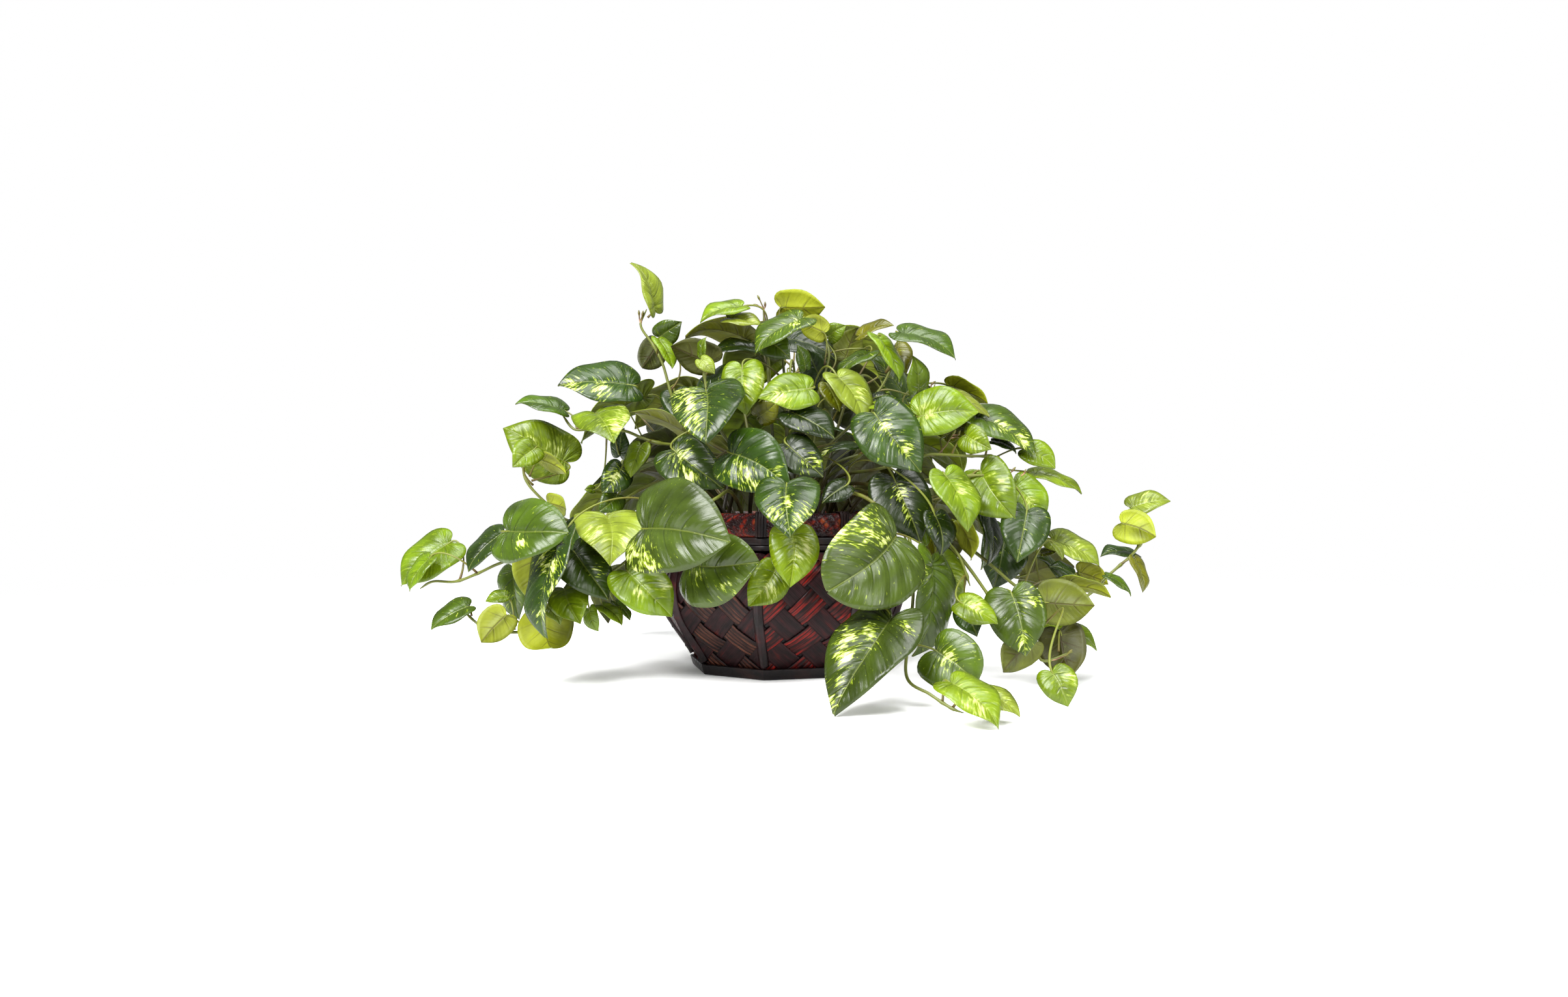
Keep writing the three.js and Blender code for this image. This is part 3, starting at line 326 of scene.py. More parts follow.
def tube_net(rows, columns, first=0, inside_out=False):
    """The faces of a tube of points that is closed at both ends."""
    last = first + (rows - 1) * columns
    faces = net(rows, columns, False, True, first)
    faces += [list(range(first, first + columns))[::-1], list(range(last, last + columns))]
    return [face[::-1] for face in faces] if inside_out else faces


wall_line = spline(WALL_OUTSIDE, WALL_POINTS)
side_line = wall_line * [math.cos(HALF_SIDE), 1]
side_run = run_along(side_line)
side_slope = slope_of(side_line)


def on_side(across, up, height):
    """Points of a wall's side that faces -Y: across it, up along it and off its outside."""
    distance, z = np.moveaxis(points_at(up, side_run, side_line), -1, 0)
    climb, rise = np.moveaxis(points_at(up, side_run, side_slope), -1, 0)
    return np.stack([across, -(distance + height * rise), z - height * climb], axis=-1)


def weave_height(along, strip, lean):
    """Height of a strip along its length: it goes over one strip and under the next."""
    return lean * np.tanh(STRIP_TURN * np.cos(math.pi * (along / STRIP_PITCH + strip)))


def plaited_side(reeds_lean, start):
    """One side of the wall: its strips as closed ribbons, and for each point its place in them."""
    half_side = wall_line[:, 0].max() * math.sin(HALF_SIDE)
    reach = int((side_run[-1] + half_side) / math.sqrt(2) / STRIP_PITCH) + 1
    shares = np.linspace(-1, 1, RIDGE_POINTS)
    reeds = np.sqrt(np.abs(np.cos(math.pi * STRIP_RIDGES * shares / 2)))
    section = np.concatenate([shares, shares[::-1][::RIDGE_POINTS // 2]])
    edge = half_side * math.sqrt(2) * SIDE_SPARE
    points, faces, places, count = [], [], [], 0
    for lean in (1, -1):
        for strip in range(-reach, reach + 1):
            middle = strip * STRIP_PITCH
            low = max(-start * math.sqrt(2) - middle, middle - edge) - STRIP_SPARE
            high = min((side_run[-1] - start) * math.sqrt(2) - middle, middle + edge) + STRIP_SPARE
            if high - low < SHORTEST_STRIP:
                continue
            along = np.linspace(low, high, int((high - low) / STRIP_STEP) + 2)
            lift = WALL_MIDDLE + STRIP_LIFT * weave_height(along, strip, lean)
            top = lift[:, None] + RIDGE_HEIGHT[lean == reeds_lean] * reeds
            height = np.concatenate([top, np.repeat(lift[:, None] - STRIP_THICK, 3, axis=1)], axis=1)
            across = middle + section * STRIP_WIDTH / 2
            a, b = np.broadcast_arrays(along[:, None], across[None, :])
            sideways, up = lean * (a - b) / math.sqrt(2), (a + b) / math.sqrt(2) + start
            points.append(on_side(sideways, up, height).reshape(-1, 3))
            faces += tube_net(len(along), len(section), count, lean < 0)
            mark = strip * 2 + (lean > 0)
            places.append(np.stack([a, np.broadcast_to(section * STRIP_WIDTH / 2, a.shape),
                                    np.full(a.shape, mark * STRIP_MARK)], axis=-1).reshape(-1, 3))
            count += len(along) * len(section)
    return np.vstack(points), faces, np.vstack(places)


def cut_to_side(points, faces, places):
    """The strips trimmed to one side of the octagon, with the cuts closed."""
    mesh = bpy.data.meshes.new("side")
    mesh.from_pydata(points.tolist(), [], faces)
    shape = bmesh.new()
    shape.from_mesh(mesh)
    layer = shape.verts.layers.float_vector.new("strip")
    for vertex, place in zip(shape.verts, places):
        vertex[layer] = place
    foot, shoulder = WALL_OUTSIDE[0][1], WALL_OUTSIDE[-1][1] - TRIM
    planes = [((0, 0, foot), (0, 0, -1)), ((0, 0, shoulder), (0, 0, 1))]
    planes += [((0, 0, 0), (hand * math.cos(HALF_SIDE), math.sin(HALF_SIDE), 0)) for hand in (1, -1)]
    for point, normal in planes:
        everything = shape.verts[:] + shape.edges[:] + shape.faces[:]
        bmesh.ops.bisect_plane(shape, geom=everything, dist=1e-4, plane_co=point, plane_no=normal,
                               clear_outer=True)
        bmesh.ops.holes_fill(shape, edges=[e for e in shape.edges if e.is_boundary], sides=0)
    bmesh.ops.triangulate(shape, faces=[f for f in shape.faces if len(f.verts) > 4])
    cut_points = np.array([v.co[:] for v in shape.verts])
    cut_places = np.array([v[layer][:] for v in shape.verts])
    cut_faces = [[v.index for v in f.verts] for f in shape.faces]
    shape.free()
    bpy.data.meshes.remove(mesh)
    return cut_points, cut_faces, cut_places


def turned_about_axis(points, angle):
    c, s = math.cos(angle), math.sin(angle)
    return points @ np.array([[c, s, 0], [-s, c, 0], [0, 0, 1]])


REED_WIDTH = STRIP_WIDTH / STRIP_RIDGES
# Bamboo splints, washed and lacquered before plaiting. The wide plain strips are dark and matt,
# and the strips of reeds glint, in worn red on every second side and in brown on the others.
# The grooves between the reeds are painted nearly black, as painted shade.
PLAITED_BAMBOO = new_material("plaited_bamboo_lacquered_with_red_wash")
strip = add(PLAITED_BAMBOO, "Attribute", {"attribute_name": "strip"}).node.outputs["Vector"]
kind = add(PLAITED_BAMBOO, "Attribute", {"attribute_name": "reeds"}).node.outputs["Vector"]
kind = add(PLAITED_BAMBOO, "SeparateXYZ", None, {"Vector": kind}).node.outputs
across = add(PLAITED_BAMBOO, "SeparateXYZ", None, {"Vector": strip}).node.outputs["Y"]
STREAKS = (0.03, 1.6, 1)  # per millimetre: fibres about 33 mm long and 0.6 mm wide
WASH_PATCHES = (0.05, 0.22, 1)  # per millimetre: 20 mm long and one reed wide
long_grain = add(PLAITED_BAMBOO, "VectorMath", TIMES, [strip, STREAKS])
streaks = add(PLAITED_BAMBOO, "TexNoise", None, {"Vector": long_grain, "Scale": 1.0, "Detail": 4.0})
by_reed = add(PLAITED_BAMBOO, "VectorMath", TIMES, [strip, WASH_PATCHES])
patches = add(PLAITED_BAMBOO, "TexNoise", None, {"Vector": by_reed, "Scale": 1.0, "Detail": 2.0})
plain = add(PLAITED_BAMBOO, "ValToRGB", None, {"Fac": patches},
            [(0.35, "#170a0b"), (0.6, "#2a1113"), (0.75, "#47140f")])
red = add(PLAITED_BAMBOO, "ValToRGB", None, {"Fac": patches},
          [(0.35, "#1c0b0a"), (0.5, "#4a130f"), (0.64, "#861a13")])
brown = add(PLAITED_BAMBOO, "ValToRGB", None, {"Fac": patches},
            [(0.35, "#1e0f0d"), (0.5, "#43241b"), (0.68, "#5c3626")])
washed = add(PLAITED_BAMBOO, "Mix", BLEND, [kind["Y"], red, brown])
colour = add(PLAITED_BAMBOO, "Mix", BLEND, [kind["X"], plain, washed])
fine = add(PLAITED_BAMBOO, "ValToRGB", None, {"Fac": streaks}, [(0.36, "#4a4040"), (0.6, "#ffffff")])
colour = add(PLAITED_BAMBOO, "Mix", TINT, [0.7, colour, fine])
# Painted shade: the grooves between the reeds of a strip are darkened towards #0a0506, for the shade that
# falls in them.
between = add(PLAITED_BAMBOO, "Math", ZIGZAG, [across, REED_WIDTH / 2])
between = add(PLAITED_BAMBOO, "MapRange", None, [between, 0.22 * REED_WIDTH, 0.48 * REED_WIDTH])
between = add(PLAITED_BAMBOO, "Math", TIMES, [between, kind["X"]])
colour = add(PLAITED_BAMBOO, "Mix", BLEND, [between, colour, linear("#0a0506")])
bump = add(PLAITED_BAMBOO, "Bump", None, {"Strength": 0.45, "Distance": 0.0003, "Height": streaks})
gloss = add(PLAITED_BAMBOO, "MapRange", None, [kind["X"], 0, 1, 0.5, 0.3])
shader = add(PLAITED_BAMBOO, "BsdfPrincipled", None, {
    "Base Color": colour, "Roughness": gloss, "Normal": bump, "Specular IOR Level": 0.15})
add(PLAITED_BAMBOO, "OutputMaterial", None, {"Surface": shader})

side_kinds = []
for reeds_lean, start in ((1, FIRST_CROSSING), (-1, FIRST_CROSSING + STRIP_PITCH / math.sqrt(2))):
    side_points, side_faces, side_places = cut_to_side(*plaited_side(reeds_lean, start))
    leans = np.where(np.rint(side_places[:, 2] / STRIP_MARK) % 2 == 1, 1, -1)
    side_kinds.append((side_points, side_faces, side_places, leans == reeds_lean))
points, faces, places, reeds, count = [], [], [], [], 0
for side in range(CORNERS):
    side_points, side_faces, side_places, of_reeds = side_kinds[side % 2]
    faces += [[i + count for i in face] for face in side_faces]
    count += len(side_points)
    points.append(turned_about_axis(side_points, FIRST_CORNER + HALF_SIDE * (2 * side + 1)))
    places.append(side_places + [0, 0, SIDE_MARK * side])
    reeds.append(np.stack([of_reeds, np.full(len(side_points), side % 2), np.zeros(len(side_points))],
                          axis=-1))
wall = solid_piece("planter_woven_wall", np.vstack(points), faces, PLAITED_BAMBOO)
write_down(wall, "strip", np.vstack(places))
write_down(wall, "reeds", np.vstack(reeds))
fit(wall, "bamboo", "planter_wall")
# A thin dark lining behind the plait, guessed at, makes the gaps in the plait show dark: a dark sheet that
# stands in for the shade inside the planter.
lining_outline = [[radius - LINING_DEPTH, z] for radius, z in wall_line[2:-2:6]]
lining_outline += [[radius - LINING_THICK, z] for radius, z in lining_outline[::-1]]
points, run, faces = octagonal(lining_outline, LINING_STEPS)
bamboo_piece("planter_dark_lining_for_shade", points, run, faces, DARK_BAMBOO, "dark_bamboo", "planter_wall")

# ---- Corner ribs -------------------------------------------------------------------------
# A split bamboo cane over each corner of the wall, with its knots showing as low rings. It
# stands on the base ring, thins out under the bands of the rim, and is lacquered with red.
RIB_WIDTH = 9
RIB_THICK = 2.6
RIB_ROUND = 2.6  # power that rounds its section
RIB_SINK = 1.6  # how deep the cane lies between the plaited sides
RIB_OFF = 0.35  # its middle line, from the wall's corner
RIB_THINS = 9  # length over which it thins out at the top
RIB_THINNEST = 0.3
RIB_POINTS, RIB_COLUMNS = 64, 13
PIECE_GAP = 0.3  # between pieces that touch
KNOT_STEP = 23
KNOT_HEIGHT = 0.55
KNOT_WIDE = 1.3
KNOT_GROOVE = {"deep": 0.3, "beside": 2.6, "wide": 0.9}
KNOT_START = (7, 3.1)  # of the first rib, and more for each next one
RIB_MARK = 91.0  # between the marks that tell the ribs apart
UP = np.array([0.0, 0.0, 1.0])


def at_corner(line, corner):
    """A [radius, z] line over a corner: its points, its normals, and the ways out and aside."""
    out = out_at(FIRST_CORNER + 2 * HALF_SIDE * corner)
    slope = slope_of(line)
    middle = np.outer(line[:, 0], out) + np.outer(line[:, 1], UP)
    normal = np.outer(slope[:, 1], out) - np.outer(slope[:, 0], UP)
    return middle, normal, out, np.array([-out[1], out[0], 0])


def rib(corner):
    line = spline([[radius + RIB_OFF, z] for radius, z in WALL_OUTSIDE[1:]], RIB_POINTS)
    line = line[line[:, 1] > BASE_HEIGHT + PIECE_GAP]
    run = run_along(line)
    shares = np.linspace(-1, 1, RIB_COLUMNS)
    knots = (run + KNOT_START[0] + KNOT_START[1] * corner) % KNOT_STEP - KNOT_STEP / 2
    deep, beside, wide = KNOT_GROOVE.values()
    swell = KNOT_HEIGHT * np.exp(-(knots / KNOT_WIDE) ** 2) - deep * np.exp(-((knots - beside) / wide) ** 2)
    crown = (RIB_THICK + swell[:, None]) * (1 - np.abs(shares) ** RIB_ROUND)
    back = -np.abs(shares) * RIB_WIDTH / 2 * math.tan(HALF_SIDE) - RIB_SINK
    crown = (crown + RIB_SINK) * np.clip((run[-1] - run) / RIB_THINS, RIB_THINNEST, 1)[:, None]
    section = np.concatenate([shares, shares[::-1][1:-1]]) * RIB_WIDTH / 2
    height = np.concatenate([crown + back, np.repeat(back[None, 1:-1][:, ::-1], len(line), 0)], axis=1)
    middle, normal, _, aside = at_corner(line, corner)
    points = middle[:, None] + section[None, :, None] * aside + height[..., None] * normal[:, None]
    run_at = np.stack(np.broadcast_arrays(run[:, None], section[None, :], RIB_MARK * corner), axis=-1)
    return points.reshape(-1, 3), run_at.reshape(-1, 3), tube_net(*height.shape)


# Glossy cane skin, dark with clouds of red, and with fibres 17 mm long and 0.6 mm wide.
RIB_BAMBOO = lacquered_bamboo("split_bamboo_rib", "#150a0b", "#2b1013", "#681a13", 0.3, (0.06, 1.6, 1))
for corner in range(CORNERS):
    bamboo_piece(f"planter_cane_rib_{corner + 1}", *rib(corner), RIB_BAMBOO,
                 "rib", f"planter_rib_{corner + 1}")

# ---- Bands of the rim --------------------------------------------------------------------
# Below, two smooth dark canes lie one over the other. Above them stands a band of bamboo skin
# that is scored crosswise and crackled, in red and orange under a clear gloss lacquer.
LOWER_BAND = {"inside": 93, "outside": 99, "low": 113.6, "high": 126.2}
RIM_BAND = {"inside": 93.5, "outside": 100.5, "low": 126.5, "high": 147}
WAIST = 0.42  # share of the lower band's height where its two canes meet
WAIST_DEPTH = 2.4
WAIST_HIGH = (0.1, 0.6)  # from there to its bottom and to the upper cane
LOWER_CANE_IN = 0.6  # how far the lower cane stands back from the upper one
CANE_ROUNDING, CANE_PARTS = 2.2, 5
LOWER_STEPS = 12
FACE_ROWS = 18
FACE_BULGE = 1.6
FACE_FOOT, FACE_TOP = 0.3, 0.5  # from the band's lower and upper edge
FACE_BACK = (2.2, 2.8)  # how far those edges stand back
RIM_STEPS = 60
SCORE_PITCH = 8.5
SCORE_DEPTH = 0.55
SCORE_WIDE = 0.8
SCORE_DARK = {"wide": 1.25, "dark": 0.95}
inside, outside, low, high = LOWER_BAND.values()
waist = low + (high - low) * WAIST
lower_out = outside - LOWER_CANE_IN
lower_outline = rounded([[inside, low], [lower_out, low], [lower_out, waist],
                         [outside - WAIST_DEPTH, waist + WAIST_HIGH[0]], [outside, waist + WAIST_HIGH[1]],
                         [outside, high], [inside, high]], CANE_ROUNDING, CANE_PARTS)
points, run, faces = octagonal(lower_outline, LOWER_STEPS)
bamboo_piece("planter_lower_canes", points, run, faces, DARK_BAMBOO, "dark_bamboo", "planter_lower_band")

inside, outside, low, high = RIM_BAND.values()
face_high = high - low - FACE_FOOT - FACE_TOP
face = [[outside - FACE_BULGE * (2 * k / FACE_ROWS - 1) ** 4, low + FACE_FOOT + face_high * k / FACE_ROWS]
        for k in range(FACE_ROWS + 1)]
rim_outline = [[inside, low], [outside - FACE_BACK[0], low], *face, [outside - FACE_BACK[1], high],
               [inside, high]]
points, run, faces = octagonal(rim_outline, RIM_STEPS)
on_face = np.tile([1 < k < len(face) + 1 for k in range(len(rim_outline))], CORNERS * RIM_STEPS)
distance = np.minimum(*[np.abs((run[:, 0] + lean * run[:, 1]) % SCORE_PITCH - SCORE_PITCH / 2)
                        for lean in (1, -1)])
groove = SCORE_DEPTH * np.exp(-(distance / SCORE_WIDE) ** 2) * on_face
points[:, :2] *= (1 - groove / outside)[:, None]
# Bamboo skin under crackle lacquer, flamed by hand: dark, with glossy clouds of red and orange
# 11 mm wide, fine dark cracks about 2 mm apart and dark lacquer left in the scored lines.
CRACKLED_BAMBOO = new_material("scored_bamboo_red_crackle_lacquer")
run_at = add(CRACKLED_BAMBOO, "Attribute", {"attribute_name": "run"}).node.outputs["Vector"]
cracks = add(CRACKLED_BAMBOO, "TexVoronoi", {"feature": "DISTANCE_TO_EDGE"},
             {"Vector": run_at, "Scale": 0.45})
cracks = add(CRACKLED_BAMBOO, "MapRange", None, [cracks, 0.02, 0.1])
glow = add(CRACKLED_BAMBOO, "TexNoise", None, {"Vector": run_at, "Scale": 0.09, "Detail": 2.0})
colour = add(CRACKLED_BAMBOO, "ValToRGB", None, {"Fac": glow},
             [(0.36, "#0f0404"), (0.48, "#270704"), (0.57, "#5c1006"), (0.67, "#74300a")])
scored = add(CRACKLED_BAMBOO, "Attribute", {"attribute_name": "scored"}).node.outputs["Fac"]
for dark in (scored, add(CRACKLED_BAMBOO, "MapRange", None, [cracks, 0, 1, 0.3, 0.0])):
    colour = add(CRACKLED_BAMBOO, "Mix", BLEND, [dark, colour, linear("#120607")])
bump = add(CRACKLED_BAMBOO, "Bump", None, {"Strength": 0.3, "Distance": 0.0004, "Height": cracks})
shader = add(CRACKLED_BAMBOO, "BsdfPrincipled", None, {
    "Base Color": colour, "Roughness": 0.26, "Normal": bump, "Specular IOR Level": 0.2})
add(CRACKLED_BAMBOO, "OutputMaterial", None, {"Surface": shader})
rim_band = bamboo_piece("planter_crackled_rim", points, run, faces, CRACKLED_BAMBOO,
                        "red_band", "planter_rim_band")
scored = np.exp(-(distance / SCORE_DARK["wide"]) ** 2) * SCORE_DARK["dark"]
write_down(rim_band, "scored", scored, "FLOAT")

# ---- Lashings ----------------------------------------------------------------------------
# Dark cane is wound four times round the rim band at each corner. Each turn lies beside the
# last, goes up the outside, over the top and down the inside.
TURNS = 4
TURN_WIDTH = 2.6
TURN_FILL = 0.98  # share of that width which the cane fills
TURN_THICK = 1.3
TURN_OFF = 0.35  # from the rim band
TURN_POINTS, TURN_SIDES = 34, 10
TURN_STEP = 1.6  # between those points, as its material counts them
INSIDE_DROP = 12
LASHING_MARK = 55.0  # between the marks that tell the lashings apart


def lashing(corner):
    inside, outside, low, high = RIM_BAND.values()
    off = TURN_OFF + TURN_THICK / 2
    out, back, top = outside + off, inside - off, high + off
    line = [[out, low], [out, low + 8], [out, high - 4], [out - 0.8, top - 0.6], [out - 3, top],
            [back + 2, top], [back + 0.2, top - 1.2], [back, high - 6], [back, high - INSIDE_DROP]]
    middle, normal, away, aside = at_corner(spline(line, TURN_POINTS), corner)
    angles = np.linspace(0, 2 * math.pi, TURN_SIDES, endpoint=False)
    height = (np.cos(angles) * TURN_THICK / 2)[:, None] * normal[:, None]
    run = np.arange(TURN_POINTS) * TURN_STEP
    points, places, faces = [], [], []
    for turn in range(TURNS):
        wide = np.sin(angles) * TURN_WIDTH * TURN_FILL / 2 + (turn - (TURNS - 1) / 2) * TURN_WIDTH
        round_corner = np.abs(wide) * math.tan(HALF_SIDE)
        points.append(middle[:, None] + np.outer(wide, aside) + height - np.outer(round_corner, away))
        place = np.broadcast_arrays(run[:, None], wide[None, :], LASHING_MARK * corner)
        places.append(np.stack(place, axis=-1))
        faces += tube_net(TURN_POINTS, TURN_SIDES, turn * TURN_POINTS * TURN_SIDES, True)
    return np.reshape(points, (-1, 3)), np.reshape(places, (-1, 3)), faces


for corner in range(CORNERS):
    bamboo_piece(f"planter_cane_lashing_{corner + 1}", *lashing(corner), DARK_BAMBOO,
                 "dark_bamboo", f"planter_lashing_{corner + 1}")

# ---- Liner pot ---------------------------------------------------------------------------
# A thin black nursery pot of moulded polypropylene with a rolled lip. It has the faint matt
# texture of its mould.
LINER = {"foot radius": 66, "rim radius": 83, "low": 5.3, "high": 139, "thick": 1.8}
ROUND_STEPS = 112


def turned_piece(name, profile, material):
    """A piece that is turned about the planter's axis. The profile is a closed [radius, z] line."""
    angles = np.linspace(0, 2 * math.pi, ROUND_STEPS, endpoint=False)
    points = np.array([[r * math.sin(a), -r * math.cos(a), z] for a in angles for r, z in profile])
    return solid_piece(name, points, net(ROUND_STEPS, len(profile), True, True), material)


# Black plastic with the fine matt grain of its mould, about 1 mm wide, and a thin film of dust
# in clouds 29 mm wide.
POLYPROPYLENE = new_material("black_moulded_polypropylene")
MOULD_GRAIN, DUST_CLOUDS = 900.0, 35.0  # per metre
coordinates = add(POLYPROPYLENE, "TexCoord").node.outputs["Object"]
texture = add(POLYPROPYLENE, "TexNoise", None,
              {"Vector": coordinates, "Scale": MOULD_GRAIN, "Detail": 2.0})
dust = add(POLYPROPYLENE, "TexNoise", None, {"Vector": coordinates, "Scale": DUST_CLOUDS, "Detail": 3.0})
colour = add(POLYPROPYLENE, "ValToRGB", None, {"Fac": dust}, [(0.3, "#0b0b0b"), (0.75, "#191714")])
bump = add(POLYPROPYLENE, "Bump", None, {"Strength": 0.3, "Distance": 0.0002, "Height": texture})
shader = add(POLYPROPYLENE, "BsdfPrincipled", None,
             {"Base Color": colour, "Roughness": 0.55, "Normal": bump})
add(POLYPROPYLENE, "OutputMaterial", None, {"Surface": shader})
foot, rim, low, high, thick = LINER.values()
floor_radius = foot + (rim - foot) * thick / (high - low) - thick
liner_profile = [[1, low], [foot - 2, low], [foot, low + 2], [rim - 1.2, high - 6], [rim, high - 5],
                 [rim, high - 0.6], [rim - 0.6, high], [rim - thick, high], [rim - thick - 0.5, high - 3],
                 [floor_radius, low + thick], [1, low + thick]]
liner = turned_piece("liner_nursery_pot", liner_profile, POLYPROPYLENE)
fit(liner, "liner", "liner_pot")

# ---- Soil --------------------------------------------------------------------------------
# Dark potting soil of peat and bark, filled in loose, so that it lies in lumps and crumbs and
# is heaped a little in the middle.
SOIL_TOP = 128
SOIL_MOUND = 3
SOIL_SINK = 0.9  # how far under that the crumbs begin
CRUMB = 0.88
LUMPS = ((11, 0.5), (5.5, 0.3), (2.6, 0.2))  # the size of each kind and its share of the height
LUMP_WAVES = 6
LUMP_SUM = 2.2  # about what the waves add up to
SOIL_CLEAR_OF_LINER = {"under": 0.3, "aside": 1.9, "foot": 0.995}
SOIL_ROWS, SOIL_COLUMNS = 76, 220
SOIL_HOLE = 0.004  # share of its radius where the rings of points start
soil_rim = rim - thick - SOIL_CLEAR_OF_LINER["aside"]
shares = np.linspace(SOIL_HOLE, 1, SOIL_ROWS)
angles = np.linspace(0, 2 * math.pi, SOIL_COLUMNS, endpoint=False)
radius, angle = np.meshgrid(shares * soil_rim, angles, indexing="ij")
x, y = radius * np.sin(angle), -radius * np.cos(angle)
crumbs = np.zeros_like(radius)
chance = np.random.default_rng(7)
for size, share in LUMPS:
    for heading, phase, other in chance.uniform(0, 2 * math.pi, (LUMP_WAVES, 3)):
        wave = np.sin((x * math.cos(heading) + y * math.sin(heading)) * 2 * math.pi / size + phase)
        cross = np.sin((y * math.cos(heading) - x * math.sin(heading)) * 2 * math.pi / size + other)
        crumbs += share * wave * cross / LUMP_SUM
height = SOIL_TOP + SOIL_MOUND * (1 - shares[:, None] ** 2) - SOIL_SINK + CRUMB * np.abs(crumbs)
top = np.stack([x, y, height], axis=-1)
lower = top[-1] * [1, 1, 0] * (floor_radius / soil_rim * SOIL_CLEAR_OF_LINER["foot"])
lower += [0, 0, LINER["low"] + thick + SOIL_CLEAR_OF_LINER["under"]]
points = np.vstack([top.reshape(-1, 3), lower])
# Moist soil, nearly black and dull, and brown where it has dried in patches 6 mm wide. Its
# grains are 2 mm wide.
POTTING_SOIL = new_material("potting_soil")
SOIL_GRAINS, DRY_PATCHES = 520.0, 160.0  # per metre
coordinates = add(POTTING_SOIL, "TexCoord").node.outputs["Object"]
crumb = add(POTTING_SOIL, "TexVoronoi", None, {"Vector": coordinates, "Scale": SOIL_GRAINS})
damp = add(POTTING_SOIL, "TexNoise", None, {"Vector": coordinates, "Scale": DRY_PATCHES, "Detail": 6.0})
colour = add(POTTING_SOIL, "ValToRGB", None, {"Fac": damp},
             [(0.3, "#0c0806"), (0.55, "#221810"), (0.75, "#3a2a1d")])
bump = add(POTTING_SOIL, "Bump", None, {"Strength": 0.9, "Distance": 0.0012, "Height": crumb})
shader = add(POTTING_SOIL, "BsdfPrincipled", None,
             {"Base Color": colour, "Roughness": 0.95, "Normal": bump})
add(POTTING_SOIL, "OutputMaterial", None, {"Surface": shader})
soil = solid_piece("soil_heap", points, tube_net(SOIL_ROWS + 1, SOIL_COLUMNS), POTTING_SOIL)
fit(soil, "soil", "soil")

